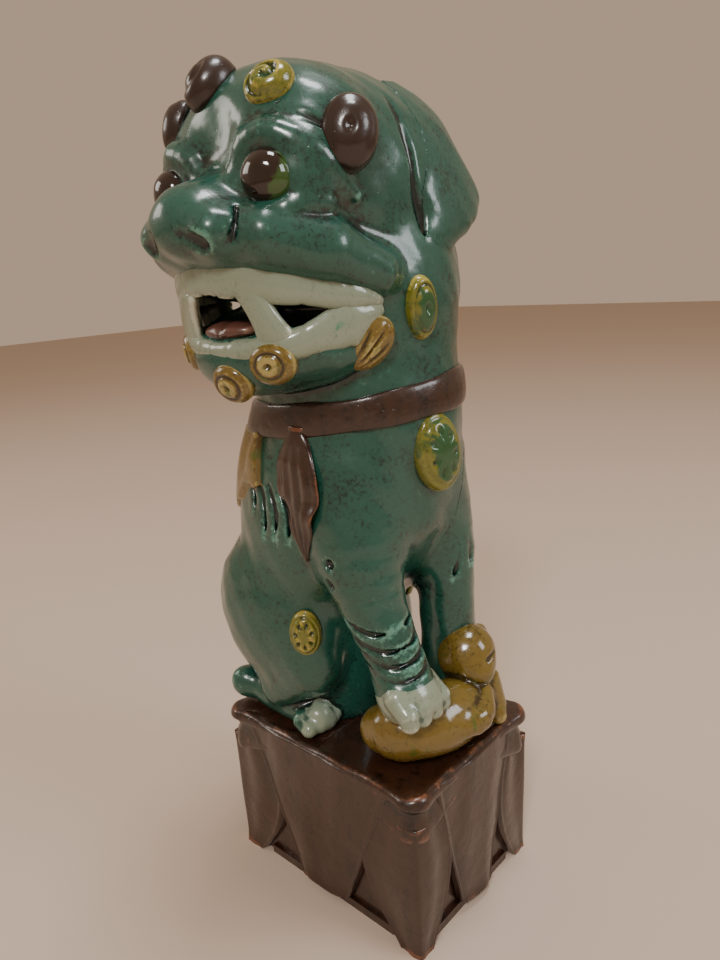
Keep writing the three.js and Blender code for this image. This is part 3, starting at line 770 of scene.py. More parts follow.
# %% Melt everything, and cut out one piece
BODY = {
    "torso": column,
    "right_haunch": lambda p: haunch(p, NEAR),
    "left_haunch": lambda p: haunch(p, OFF),
    "right_foreleg": lambda p: foreleg(p, NEAR),
    "left_foreleg": lambda p: foreleg(p, OFF),
    "right_hind_paw": lambda p: hind_paw(p, NEAR),
    "left_hind_paw": lambda p: hind_paw(p, OFF),
    "right_fore_paw": near_paw,
    "left_fore_paw": off_paw,
}
HEAD = {
    "head": lambda p: melt([skull(p), muzzle(p), column(p)], 4),
    "lower_jaw": jaw,
    "nose": nose,
    "right_brow": lambda p: np.minimum(brow(p, -1), under_lid(p, -1)),
    "left_brow": lambda p: np.minimum(brow(p, 1), under_lid(p, 1)),
    "right_ear": lambda p: ear(p, -1),
    "left_ear": lambda p: ear(p, 1),
}


def body_clay(p, parts):
    """The melted body: limbs join the trunk with wide fillets, paws with narrow ones."""
    made = melt([parts["torso"], parts["right_haunch"], parts["left_haunch"]], 3.5)
    with_right = melt([made, parts["right_foreleg"]], 8)
    with_left = melt([made, parts["left_foreleg"]], 7)
    made = melt([with_right, with_left], 0.6)
    made = melt([made, parts["right_hind_paw"], parts["left_hind_paw"]], 1.6)
    return melt([made, parts["right_fore_paw"], parts["left_fore_paw"]], 0.8)


def creases(p):
    """Lines pressed into the soft clay: folds round the wrist, locks of fur on the back of the
    leg, two burst blisters on the shoulder, and locks on the breast."""
    lines = []
    for height, reach in ((89.0, 0.4), (93.2, 0.65), (97.6, 0.6), (102.6, 0.4)):
        over_wrist = height - 84
        x = 28.4 - over_wrist * 0.42
        y = -17.8 - over_wrist * 0.05
        lines.append(roll(p, bend([(x - 5, y - 7.6, height + 2.2), (x + 1.5, y - 9.2, height),
                                   (x + 7.2, y - 6.6, height - 0.8), (x + 9.4, y + 0.5, height),
                                   (x + 7.2, y + 6.4, height + 1.6)], 10),
                          [0.2] + [reach] * 8 + [0.2]))
    for k in range(5):
        top = (11.2 + 2.2 * k, -25.5 - 0.15 * k, 108 - 4.6 * k)
        foot = (13.6 + 2.2 * k, -25.6 - 0.1 * k, 99.5 - 4.2 * k)
        lines.append(roll(p, [top, foot], [0.9, 0.3]))
    for spot in ((15.7, -30.9, 121.6), (14.0, -29.8, 114.9)):
        lines.append(ball(p, spot, (1.3, 1.3, 1.3)))
    for k in range(4):
        y = -3 + 6 * k
        lines.append(roll(p, bend([(31.5, y, 124), (30.5, y + 1.5, 114), (27, y + 1, 106)], 6),
                          [0.25, 0.6, 0.7, 0.6, 0.5, 0.25]))
    return np.minimum.reduce(lines)


def flank_lines(p):
    """Long shallow grooves down her flank, where locks of fur were drawn with a comb."""
    lines = []
    for k in range(7):
        x = -30 + 5.2 * k
        y = -27.4 + 0.18 * (x + 8) ** 2 / 10
        path = bend([(x, y - 1, 146 - 1.5 * k), (x + 2.5, y - 1.5, 132),
                     (x + 1, y - 0.6, 118 + k)], 7)
        lines.append(roll(p, path, [0.1, 0.3, 0.4, 0.45, 0.4, 0.3, 0.1]))
    return np.minimum.reduce(lines)


def face_creases(p):
    """Lines on the face: round the nose's wings, over the brows and before the ears."""
    lines = []
    for x in (-1, 1):
        lines.append(roll(p, bend([on_skull(x * 14, -38.5, -6), on_skull(x * 16, -41.0, -9.5),
                                   on_skull(x * 16, -43.5, -13.5), on_skull(x * 12.5, -46, -18)], 8),
                          [0.1, 0.2, 0.3, 0.5, 0.7, 0.8, 0.8, 0.6]))
        lines.append(roll(p, bend([on_skull(x * 5, -33, 12), on_skull(x * 13, -33.5, 17.5),
                                   on_skull(x * 23, -28, 15.5), on_skull(x * 29.5, -18.5, 8)], 8),
                          [0.3, 0.7, 0.9, 0.9, 0.9, 0.8, 0.6, 0.3]))
        lines.append(roll(p, bend([on_skull(x * 24, 3, 25), on_skull(x * 30.5, 3.5, 12),
                                   on_skull(x * 32.5, 4.5, -2), on_skull(x * 32, 7, -14)], 8),
                          [0.4, 0.8, 1.0, 1.1, 1.0, 0.9, 0.7, 0.4]))
    return np.minimum.reduce(lines)


def head_clay(p, parts):
    """The melted head, with the mouth hollowed and the lines pressed in."""
    made = melt([parts["head"], parts["lower_jaw"]], 1.5)
    made = melt([made, parts["nose"]], 4.2)
    made = melt([made, parts["right_brow"], parts["left_brow"]], 2.4)
    made = carve(made, mouth(p), 1.2)
    made = melt([made, parts["right_ear"], parts["left_ear"]], 0.9)
    return carve(made, face_creases(p), 1.5)


def clay_of(group):
    """A function that gives the melted field of one group, and each of its masses, at points p.
    The whole skin is a little uneven."""
    def measure(p):
        parts = {name: mass(p) for name, mass in group.items()}
        if group is BODY:
            made = carve(body_clay(p, parts), creases(p), 1.2)
            made = carve(made, flank_lines(p), 1.6)
        elif group is HEAD:
            made = head_clay(p, parts)
        else:
            made = cub_clay(p, parts)
        return made + 0.28 * wave(p, 9, 5).astype(np.float32), parts
    return measure


COLLAR_Z = 162.35
COLLAR_RISE = (0.089, 0.085)  # to her front and to her left


def strap_level(p):
    """Height above the tilted plane of the collar, which rises to her front and her left."""
    return p[..., 2] - (COLLAR_Z + COLLAR_RISE[0] * p[..., 0] + COLLAR_RISE[1] * p[..., 1])


def piece_field(name, group):
    """The melted field cut off where another mass is nearer by more than a small overlap."""
    measure = clay_of(group)
    rank = {part: k for k, part in enumerate(group)}

    def field(p):
        made, parts = measure(p)
        own = parts[name]
        for other, theirs in parts.items():
            if other == name:
                continue
            under = rank[name] < rank[other]
            made = np.maximum(made, own - theirs - (0.9 if under else 0.0))
        made = made + 0.05 * (len(rank) - rank[name]) / 2
        if group is BODY:
            made = np.maximum(made, CLAY_FOOT - p[..., 2])
            made = np.maximum(made, strap_level(p) - 2.0)
        elif name == "head":
            made = np.maximum(made, -strap_level(p) - 1.5)
        return made
    return field


def seat_contact(p):
    """Height over the seat, the top of the slab."""
    return np.abs(p[..., 2] - SLAB_TOP)


CELL = 0.6
CLAY_FOOT = SLAB_TOP + 0.1
REACH = {
    "torso": ((-52, -34, 55), (36, 34, 168)),
    "right_haunch": ((-54, -38, 55), (12, -2, 126)), "left_haunch": ((-54, 2, 55), (12, 38, 126)),
    "right_foreleg": ((-8, -37, 78), (42, 6, 164)), "left_foreleg": ((-4, -4, 55), (36, 32, 160)),
    "right_hind_paw": ((-46, -36, 54), (12, -10, 74)),
    "left_hind_paw": ((-46, 10, 54), (12, 36, 74)),
    "right_fore_paw": ((18, -30, 68), (44, -6, 92)), "left_fore_paw": ((12, 2, 54), (38, 26, 74)),
    "head": ((-40, -60, 155), (40, 38, 254)), "lower_jaw": ((-36, -56, 162), (32, 12, 198)),
    "nose": ((-20, -62, 198), (17, -34, 224)),
    "right_brow": ((-38, -50, 206), (-6, -22, 236)), "left_brow": ((2, -50, 206), (34, -22, 236)),
    "right_ear": ((-42, -12, 188), (-14, 26, 256)), "left_ear": ((10, -12, 188), (40, 26, 256)),
}


def surface_of(clay, points):
    """Unit normals and the bulge at points, both from the melted field, so that they run on
    unbroken from piece to piece. The bulge is half the field's Laplacian: the mean over the
    corners of a small cube, less the middle, over the square of the cube's half size."""
    normals = slope_of(clay, points, 0.3)
    normals /= np.linalg.norm(normals, axis=1, keepdims=True) + 1e-9
    half = 0.9
    around = [np.array([a, b, c]) * half for a in (-1, 1) for b in (-1, 1) for c in (-1, 1)]
    mean = sum(clay((points + step).astype(np.float32)) for step in around) / 8
    return normals, (mean - clay(points.astype(np.float32))) / half**2


def pale_toes(points):
    """Where the green was wiped thin off the toes of the hind feet."""
    return np.clip((points[:, 0] + 12) / 8, 0, 1)


def sculpt(name, group, slot="green_glaze", contact=None):
    """Draws the skin of one piece of a group inside its own reach, and adds it."""
    low, high = REACH[name]
    points, faces = skin(piece_field(name, group), np.array(low, float), high, CELL)
    normals, bulge = surface_of(lambda p: clay_of(group)(p)[0], points)
    extra = {"seep": pale_toes(points)} if "hind_paw" in name else None
    add_piece(name + "_clay", points, faces, slot, name, contact, bulge=bulge, normals=normals,
              extra=extra)
    print(f"{name}: {len(faces)} quads")


# Body pieces but her pressing paw are darkened near the seat: thick glaze and painted contact shade.
for part in BODY:
    slot = "cream_glaze" if part == "right_fore_paw" else "green_glaze"
    sculpt(part, BODY, slot, seat_contact if part != "right_fore_paw" else None)
for part in HEAD:
    sculpt(part, HEAD)

# %% [markdown]
# ## The plinth and its cloth
# The plinth is a box draped with cloth: a slab with a rolled rim, a flap over the middle of each
# side and a gathered cloth over each corner, whose free edges draw in to the foot. The box's
# own walls stay as they were packed, deep in the shadow between the cloths.

# %% Points on the plinth's sides
CLOTH_FOOT, FLAP_TOP = 3.4, SLAB_TOP - 2.0
BAND, FOOT_SHARE, CORNER_SHARE = 10.0, 0.25, 0.29


def draw_in(z):
    """The plinth narrows evenly to 0.97 of its size at the foot."""
    return 0.97 + 0.03 * np.clip(z / SLAB_TOP, 0, 1)


def turned(x, y, quarters):
    """Turns x and y by a number of quarter turns."""
    c, s = [(1, 0), (0, 1), (-1, 0), (0, -1)][quarters % 4]
    return c * x - s * y, s * x + c * y


def fold(a, z, seed):
    """Soft folds in a hanging cloth: sines across it that lean a little as they fall."""
    return (0.55 * np.sin(a / 4.3 + 0.03 * z + seed) + 0.35 * np.sin(a / 2.1 - 0.06 * z + 2 * seed)
            + 0.2 * np.sin(z / 3.7 + a / 9 + seed))


# %% Flaps
def flap(side):
    """Rings from foot to rim. Each ring is a flattened oval: across the side and its thickness.
    The outer face is crowned, folded and turned a little forward at its two long edges."""
    out, along = PLINTH_HALF[side % 2], PLINTH_HALF[(side + 1) % 2]
    rows, around = 90, 140
    t = np.linspace(0, 1, rows)[:, None]
    z = CLOTH_FOOT + (FLAP_TOP + 1.2 - CLOTH_FOOT) * t
    half = along * FOOT_SHARE + (along - BAND - along * FOOT_SHARE) * t**0.94
    half = half * np.clip((t + 0.012) / 0.02, 0, 1) ** 0.3
    angle = np.linspace(0, 2 * math.pi, around, endpoint=False)[None, :] + math.pi / around
    c, s = np.cos(angle), np.sin(angle)
    a = half * np.sign(c) * np.abs(c) ** 0.5
    share = a / half
    outer = (np.abs(s) ** 0.35) * (s > 0)
    crown = 0.75 - 0.5 * share**2 + 0.85 * np.exp(-(((np.abs(share) - 0.965) / 0.05) ** 2))
    depth = -2.6 + (2.4 + crown + 0.42 * fold(a, z, side)) * outer
    foot_lift = 0.8 * np.exp(-((z - CLOTH_FOOT) / 1.6))
    x = (out + depth + foot_lift * outer) * draw_in(z)
    y = a * draw_in(z)
    x, y = turned(x, y, side)
    return np.stack([x, y, np.broadcast_to(z, x.shape)], -1)


SIDE_NAMES = ("front", "left", "back", "right")
for side, side_name in enumerate(SIDE_NAMES):
    name = f"cloth_flap_{side_name}"
    add_piece(name + "_clay", *loft(flap(side)), "brown_glaze", name)
print("flaps:", ", ".join(SIDE_NAMES))

# %% Corner cloths
def smoothed(line):
    """Averages each value with three on either side. Past its ends the line is carried on as
    its own mirror image through the end, so the ends stay put."""
    before = [2 * line[0] - line[i] for i in (3, 2, 1)]
    after = [2 * line[-1] - line[-i] for i in (2, 3, 4)]
    return np.convolve(np.concatenate([before, line, after]), np.ones(7) / 7, "valid")


def corner_cloth(corner):
    """Rings from foot to slab. Each ring runs round the corner on the outside and back on the
    inside. Its reach along each side is a sine of the height, and the turn of the corner is
    rounded by averaging neighbouring points of the path."""
    first = PLINTH_HALF[corner % 2]
    second = PLINTH_HALF[(corner + 1) % 2]
    rows, steps = 80, 121
    top = SLAB_TOP - 10.4
    z = np.linspace(0, top, rows)
    reach = np.sin((0.12 + 0.62 * z / top) * math.pi) * CORNER_SHARE * 2
    s = np.linspace(-1, 1, steps)
    rings = []
    for height, share in zip(z, reach):
        x = np.where(s < 0, first, first - s * share * first)
        y = np.where(s < 0, second + s * share * second, second)
        for _ in range(5):
            x, y = smoothed(x), smoothed(y)
        way = np.stack([np.gradient(x), np.gradient(y)], 1)
        way /= np.linalg.norm(way, axis=1, keepdims=True)
        normal = np.stack([way[:, 1], -way[:, 0]], 1)
        if normal[steps // 2] @ [1, 1] < 0:
            normal = -normal
        hem = np.clip(1 - np.abs(s) ** 14, 0, 1) ** 0.5
        roll_edge = 0.55 * np.exp(-(((np.abs(s) - 0.93) / 0.05) ** 2))
        rise = height / top
        belly = 0.5 * math.sin(math.pi * min(1, rise * 1.1))
        gather = 0.42 * np.cos(s * 9 + corner) * (0.3 + rise) + 0.25 * fold(s * 22, height, corner)
        flare = 0.7 * math.exp(-height / 2.5)
        outer = -0.6 + belly + gather * 0.8 + roll_edge + flare
        face = -2.7 + (2.7 + outer) * hem
        path_out = np.stack([x, y], 1) + face[:, None] * normal
        path_in = np.stack([x, y], 1) - 3.2 * normal
        ring = np.vstack([path_out, path_in[::-1]]) * draw_in(height)
        rings.append(np.column_stack([*turned(ring[:, 0], ring[:, 1], corner),
                                      np.full(len(ring), height)]))
    return np.array(rings)


for corner in range(4):
    name = f"corner_cloth_{SIDE_NAMES[corner]}_{SIDE_NAMES[(corner + 1) % 4]}"
    add_piece(name + "_clay", *loft(corner_cloth(corner)), "brown_glaze", name)
print("corner cloths: 4")

# %% [markdown]
# The slab is one profile carried round a rounded rectangle. At each corner its cloth swells
# into a knob and hangs lower in a point, like the corner of a napkin with a drop at its tip.

# %% Slab
def rounded_loop(half_x, half_y, radius, count):
    """Points round a rounded rectangle, evenly spaced, and the way out at each."""
    turn = np.linspace(0, math.pi / 2, 30)
    arcs = []
    for quarter, (sx, sy) in enumerate([(1, 1), (-1, 1), (-1, -1), (1, -1)]):
        a = turn + quarter * math.pi / 2
        arcs.append(np.stack([sx * (half_x - radius) + radius * np.cos(a),
                              sy * (half_y - radius) + radius * np.sin(a)], 1))
    line = np.vstack([*arcs, arcs[0][:1]])
    length = np.concatenate([[0], np.cumsum(np.hypot(*np.diff(line, axis=0).T))])
    at = np.linspace(0, length[-1], count, endpoint=False)
    xy = np.stack([np.interp(at, length, line[:, i]) for i in (0, 1)], 1)
    way = np.roll(xy, -1, 0) - np.roll(xy, 1, 0)
    way /= np.linalg.norm(way, axis=1, keepdims=True)
    return xy, np.stack([way[:, 1], -way[:, 0]], 1)


def slab():
    """Rings follow the profile from the middle of the underside, out round the rim and in over
    the top. A row of the profile is how far in from the side, how high, and how far its
    corners hang down in a point."""
    corner_radius, around = 6.0, 640
    xy, out = rounded_loop(*PLINTH_HALF, corner_radius, around)
    corner = np.hypot(PLINTH_HALF[0] - np.abs(xy[:, 0]), PLINTH_HALF[1] - np.abs(xy[:, 1]))
    knob = np.exp(-((np.clip(corner - 3, 0, None) / 4.5) ** 2))
    hang = np.clip(1.45 - corner / 13.0, 0, 1)
    turns = np.linspace(0.5, math.pi, 14)
    profile = [(26, 45.2, 0), (18, 45.2, 0), (10, 45.2, 0), (5, 45.2, 0.5), (2.4, 45.2, 1),
               (1.1, 45.1, 1), (0.5, 45.6, 1), (0.3, 46.6, 0.9), (0.5, 47.8, 0.7),
               (0.8, 49.2, 0.45), (1.1, 50.4, 0.2), (1.2, 51.2, 0.05)]
    profile += [(2.2 - 2.35 * math.sin(a), 53.7 - 2.3 * math.cos(a), 0) for a in turns]
    profile += [(3.4, 55.9, 0), (5, 55.6, 0), (8, 55.75, 0), (12, 55.9, 0), (18, 56, 0),
                (26, 56, 0)]
    rings = []
    for inset, z, drop in profile:
        if inset < 3:
            swell = knob * (1.2 if z > 51 else 0.45) - 0.9 * knob * math.exp(-((z - 50.6) ** 2))
            ring = xy + out * (swell - inset)[:, None]
        else:
            ring = np.sign(xy) * np.maximum(np.abs(xy) - inset, 0.02 * np.abs(xy))
        uneven = 0.2 * np.sin(xy[:, 0] / 2.9 + z) + 0.18 * np.sin(xy[:, 1] / 2.3 - 2 * z)
        uneven = uneven * (0 if inset > 20 else 1 if z > 50 else 0.3)
        rings.append(np.column_stack([ring, z - drop * 4.4 * hang + uneven]))
    return np.array(rings)


add_piece("plinth_slab_clay", *loft(slab()), "brown_glaze", "plinth_slab")
print("slab made")

# %% [markdown]
# ## The cub
# The cub lies curled on its back under her paw: a fat crescent of a body, a round head with
# a small hooked ear, and two stubby legs.

# %% Cub
def cub_body(p):
    """A crescent coil with a rounded belly."""
    return roll(p, bend([(20, -17.5, 65), (27, -15, 66.5), (32, -6, 66.8), (32.5, 5, 66.4),
                         (30, 16, 66)], 14),
                np.interp(np.linspace(0, 1, 14), [0, 0.2, 0.6, 1], [7.4, 9.6, 10.2, 8.2]))


def cub_head(p):
    """A round head with a snout, two slit eyes and a mouth drawn with a point."""
    round_head = ball(p, (29.5, 13, 79.3), (9.5, 9.3, 10))
    snout = ball(p, (33.5, 11, 76), (6.5, 6, 5.5))
    ear_flap = ball(p, (30.5, 19.4, 83.6), (2.2, 2.6, 3.8))
    made = melt([melt([round_head, snout], 2.5), ear_flap], 2.0)
    slits = [roll(p, [(38.5, 15.5, 82), (38.8, 11, 81)], [0.5, 0.5]),
             roll(p, [(37.8, 6.5, 80.5), (35.5, 4.2, 80)], [0.5, 0.5]),
             roll(p, bend([(37.5, 16, 74.5), (40.6, 11, 73), (38.5, 6, 74.2)], 6), [0.6] * 6)]
    return carve(made, np.minimum.reduce(slits), 0.7)


def cub_foreleg(p):
    """A foreleg folded over the belly, with its paw to her paw."""
    return roll(p, bend([(36, -10, 68), (41, -3, 67), (42, 3, 68), (38.5, 9, 70.5)], 8),
                [2.6, 3.2, 3.6, 3.8, 3.8, 3.6, 3.3, 3.0], (1, 1, 1.15))


def cub_hind_leg(p):
    """A hind leg that hangs over the seat."""
    return roll(p, [(35.5, 16.5, 71), (37.5, 17.2, 62), (38.5, 16.6, 59)], [3.4, 3.4, 3.0])


CUB = {"cub_body": cub_body, "cub_foreleg": cub_foreleg, "cub_hind_leg": cub_hind_leg,
       "cub_head": cub_head}


def cub_clay(p, parts):
    """The melted cub, cut off flat just over the seat."""
    made = melt([parts["cub_body"], parts["cub_foreleg"], parts["cub_hind_leg"]], 1.2)
    made = melt([made, parts["cub_head"]], 1.0)
    return np.maximum(made, CLAY_FOOT - p[..., 2])


REACH.update({
    "cub_body": ((10, -28, 54), (46, 28, 80)), "cub_head": ((16, 0, 66), (46, 26, 92)),
    "cub_foreleg": ((28, -18, 58), (48, 18, 78)), "cub_hind_leg": ((28, 8, 54), (46, 24, 78)),
})
# The cub is darkened near the seat and under her paw: thick glaze and painted contact shade.
for part in CUB:
    sculpt(part, CUB, "amber_glaze", lambda p: np.minimum(seat_contact(p), near_paw(p) + 0.6))

# %% [markdown]
# ## Mouth and eyes
# The lips are bands of pale clay pressed along the edges of the mouth and marked with teeth.
# A fang on either side joins them like a strut, and the tongue lies on the floor of the mouth.

# %% Lips, fangs and tongue
def lip(rows, tall, thick, teeth):
    """Rings along the edge of the mouth, flattened to stand up. tall holds the half heights
    from the corner to the middle. Teeth are shallow grooves."""
    count = 150
    path = bend([on_skull(*row) for row in rows], count)
    t = np.linspace(0, 1, count)
    from_middle = np.abs(2 * t - 1)
    half = np.interp(from_middle, np.linspace(1, 0, len(tall))[::-1], tall[::-1])
    rings = along_path(path, half, thick * tapered(t, 0.08, 0.08), (0, 0, 1), 36)
    notch = 1 - teeth * np.clip(np.cos(t * count * math.pi / 5.5), 0, 1) ** 6
    wavy = 1 + 0.05 * np.sin(t * 21) + 0.04 * np.sin(t * 47 + 1)
    return path[:, None] + (rings - path[:, None]) * (notch * wavy)[:, None, None]


UPPER = [(30.2, -8, -28.8), (28.4, -17, -26.6), (20.5, -30.4, -23.4), (10, -37.8, -20.2),
         (0, -39.4, -19.4), (-10, -37.8, -20.2), (-20.5, -30.4, -23.4), (-28.4, -17, -26.6),
         (-30.2, -8, -28.8)]
LOWER = [(30.2, -8, -30.2), (27.6, -17.6, -33.2), (20, -29.6, -37.2), (10, -35.2, -38.4),
         (0, -37, -38.4), (-10, -35.2, -37.4), (-20, -29.4, -33.4), (-28, -17, -31.4),
         (-30.2, -8, -30.2)]
add_piece("upper_lip_clay", *loft(lip(UPPER, [1.0, 3.6, 4.8, 5.4, 5.6], 2.0, 0.07)),
          "cream_glaze", "upper_lip")
add_piece("lower_lip_clay", *loft(lip(LOWER, [1.2, 5.6, 3.9, 3.0, 2.6], 2.3, 0.05)),
          "cream_glaze", "lower_lip")
for hand, side_name in ((1, "left"), (-1, "right")):
    t = np.linspace(0, 1, 40)
    path = bend([on_skull(hand * 11.5, -36.6, -20), on_skull(hand * 14.2, -34.6, -28.5),
                 on_skull(hand * 17.5, -31.4, -38.5)], 40)
    wide = (3.6 if hand == 1 else 7.6) + 2.6 * (2 * t - 1) ** 2
    wide = wide * tapered(t, 0.2, 0.2)
    rings = along_path(path, wide, 2.3 * tapered(t, 0.2, 0.2), (1, 0.5 * hand, 0), 32)
    add_piece(f"{side_name}_fang_clay", *loft(rings), "cream_glaze", f"{side_name}_fang")
t = np.linspace(0, 1, 50)
path = bend([on_skull(0, -12, -36), on_skull(0, -22, -34.2), on_skull(0.5, -32, -33.6),
             on_skull(1, -37.5, -34.4)], 50)
rings = along_path(path, 8.6 * tapered(t, 0.1, 0.3), 2.5 * tapered(t, 0.1, 0.3), (1, 0, 0), 40)
centre_groove = np.exp(-(((rings[..., 0] - path[:, None, 0]) / 1.2) ** 2))
rings[..., 2] -= 0.7 * centre_groove * (rings[..., 2] > path[:, None, 2])
add_piece("tongue_clay", *loft(rings), "plum_glaze", "tongue")

# %% Setting a piece on the skin
def bare_head(p):
    """The head's own field, for setting things on."""
    return clay_of(HEAD)(p)[0]


def set_on(field, at, out, sink=0.0):
    """The place along out, through at, where the field's skin is crossed from outside."""
    out = np.array(out, float) / np.linalg.norm(out)
    t = np.linspace(9, -9, 361)
    line = (np.array(at) + t[:, None] * out).astype(np.float32)
    inside = field(line) < 0
    hit = t[np.argmax(inside)] if inside.any() else 0.0
    return np.array(at) + (hit - sink) * out


# %% Eyes
EYE_RADIUS = 6.4


def thumbed(r, a):
    """The ball of the eye is a little flattened, as a thumb leaves it."""
    return -0.12 * np.exp(-(((r - 0.4) / 0.2) ** 2)) * np.cos(2 * a)


for hand, side_name in ((1, "left"), (-1, "right")):
    centre = centre_of(f"{side_name}_eye")
    rings = dome(2 * EYE_RADIUS, 2 * EYE_RADIUS, EYE_RADIUS, thumbed, 40, 64)
    rings[..., 2] = np.where(rings[..., 2] > 0, rings[..., 2], rings[..., 2] * 3)
    points, faces = loft(place(rings, centre, (hand * 0.28, -1, 0.05)))
    offset = points - centre
    seep = np.clip((offset @ np.array([hand * 0.75, 0.55, -0.35])) / EYE_RADIUS + 0.15, 0, 1)
    add_piece(f"{side_name}_eye_clay", points, faces, "dark_glaze", f"{side_name}_eye",
              extra={"seep": seep * 1.15})

# %% [markdown]
# ## Curls of the mane
# The curls are sprigs: little pads pressed in carved moulds and stuck on. Each carving is a
# function of the radius and the angle on the pad: a spiral, rings round a hole, or a leaf.

# %% Carvings
def spiral(turns, depth, hand=1):
    """A groove that winds in from the rim: radius times turns, less the angle, all round."""
    def relief(r, a):
        phase = (r * turns - hand * a / (2 * math.pi)) % 1 - 0.5
        return -depth * np.exp(-((phase / 0.16) ** 2)) * np.clip(r * 4, 0, 1)
    return relief


def rings_and_hole(depth, at=0.6, hole=1.0):
    """A ring groove round a hole pressed in the middle."""
    def relief(r, a):
        return -depth * np.exp(-(((r - at) / 0.1) ** 2)) - hole * np.exp(-((r / 0.15) ** 2))
    return relief


def leaf(depth):
    """Veins that fan out from one end."""
    def relief(r, a):
        x, y = r * np.cos(a), r * np.sin(a)
        fan = np.arctan2(x, y + 1.6)
        return -depth * np.cos(fan * 12) ** 8 * np.clip(1.1 - r, 0, 1)
    return relief


def pitted(depth, seed):
    """A ring of small holes inside a thin ring groove."""
    def relief(r, a):
        holes = np.cos(a * 3.5 + seed) ** 8 * np.exp(-(((r - 0.5) / 0.13) ** 2))
        return -depth * holes - 0.6 * depth * np.exp(-(((r - 0.82) / 0.07) ** 2))
    return relief


PLAIN_BOSS, CHEEK_RING = rings_and_hole(0.2, 0.7, 0.9), rings_and_hole(0.55, 0.72)
CURLS = {
    # node: glaze, offset from the skull, facing, width, height, proud, spin, carving, seep
    "left_temple_curl": ("brown", (30, -16.5, 9.3), (0.7, -0.6, 0.15),
                         14, 17.5, 6.5, -10, PLAIN_BOSS, 1.6),
    "left_forehead_curl": ("olive", (13, -22.4, 19.2), (0.32, -0.75, 0.6),
                           12.5, 11, 4.2, 30, spiral(1.3, 1.5), 0.4),
    "right_forehead_curl": ("brown", (-7.7, -24.4, 25), (-0.2, -0.7, 0.7),
                            12.5, 15.5, 6.5, 0, spiral(1.2, 0.6, -1), 1.6),
    "right_temple_curl": ("brown", (-26.2, -23, 18.6), (-0.8, -0.6, 0.3),
                          11.5, 15, 6, 0, spiral(1.4, 0.9, -1), 1.6),
    "crown_curl": ("olive", (3.2, 20.5, 26.7), (0, 0.3, 1), 16, 12, 3, 0, leaf(0.8), 0.3),
    "left_cheek_curl": ("olive", (32, 2.6, -31), (1, -0.2, -0.1),
                        9.5, 16.5, 3.8, 5, CHEEK_RING, 0.8),
    "right_cheek_curl": ("olive", (-32, 2.6, -31), (-1, -0.2, -0.1),
                         9.5, 16.5, 3.8, -5, CHEEK_RING, 0.8),
    "left_jaw_curl": ("amber", (28.5, -11.9, -39), (0.8, -0.5, -0.3),
                      11.5, 15.5, 4, -38, leaf(0.9), 0.2),
    "right_jaw_curl": ("amber", (-28.5, -11.9, -39), (-0.8, -0.5, -0.3),
                       11.5, 15.5, 4, 38, leaf(0.9), 0.2),
    "left_chin_curl": ("amber", (15.4, -32.7, -41.5), (0.35, -0.9, -0.15),
                       12.5, 10.5, 3.4, 0, rings_and_hole(0.5), 0.2),
    "middle_chin_curl": ("amber", (3.2, -36.3, -46.5), (0.1, -0.9, -0.4),
                         12, 11, 3.4, 0, rings_and_hole(0.6), 0.2),
    "right_chin_curl": ("amber", (-17.9, -31.4, -39.4), (-0.5, -0.8, -0.2),
                        11, 11, 3.4, 0, rings_and_hole(0.5), 0.2),
}


def add_sprig(node, field, at, out, slot, width, height, proud, spin, carving, seep):
    """Sets a sprig 0.6 mm into a field's skin. Its seep number falls away from the middle of
    the face, slowly on the curls that are stained all over."""
    rings = dome(width, height, proud, carving)
    r = np.hypot(rings[..., 0] / width, rings[..., 1] / height) * 2
    points, faces = loft(place(rings, set_on(field, at, out, 0.6), out, spin))
    reach = 0.55 if seep < 1.5 else 3
    add_piece(node + "_clay", points, faces, slot, node,
              extra={"seep": (np.exp(-((r / reach) ** 2)) * seep).ravel()})


for node, (colour, offset, out, width, height, proud, spin, carving, seep) in CURLS.items():
    add_sprig(node, bare_head, on_skull(*offset), out, colour + "_glaze", width, height, proud,
              spin, carving, seep)
print("curls:", len(CURLS))

# %% Sprigs on the body
def bare_body(p):
    """The body's own field, for setting things on."""
    return clay_of(BODY)(p)[0]


add_sprig("chest_bell", bare_body, (31.5, -3, 149.5), (1, -0.25, 0.05), "olive_glaze", 15, 23, 5, 8,
          pitted(1.0, 0.6), 1.0)
for hand, side_name in ((NEAR, "right"), (OFF, "left")):
    centre = centre_of(f"{side_name}_knee_curl") + [2.0, 0, 0]
    add_sprig(f"{side_name}_knee_curl", bare_body, centre, (0.7, hand, 0), "olive_glaze", 10, 14.5,
              3.6, 0, pitted(0.9, hand), 0.25)

# %% [markdown]
# ## Collar, tassels, tail and mane
# These are rolled and flattened strips, dressed onto the body while it is soft, so they are
# carried along paths that lie on the column of the trunk.

# %% Collar
def collar():
    """A strap round the column in a tilted plane: a flat oval section, its middle standing
    1.4 mm proud, carried right round with a little unevenness in its width."""
    turn = np.linspace(0, 2 * math.pi, 260, endpoint=False)[:, None]
    section = np.linspace(0, 2 * math.pi, 32, endpoint=False)[None, :]
    high = np.sign(np.sin(section)) * np.abs(np.sin(section)) ** 0.8
    proud = np.sign(np.cos(section)) * np.abs(np.cos(section)) ** 0.6
    half = 4.8 + 0.35 * np.sin(3 * turn + 1) + 0.2 * np.sin(8 * turn)
    z = COLLAR_Z + high * half
    z = z + COLLAR_RISE[0] * 33 * np.cos(turn) + COLLAR_RISE[1] * 29 * np.sin(turn)
    middle, deep, wide = column_at(z)
    lift = 0.1 + 1.3 * proud + 0.25 * np.sin(5 * turn)
    return np.stack([middle + (deep + lift) * np.cos(turn), (wide + lift) * np.sin(turn), z], -1)


add_piece("collar_clay", *loft(collar(), endless=True), "brown_glaze", "collar")

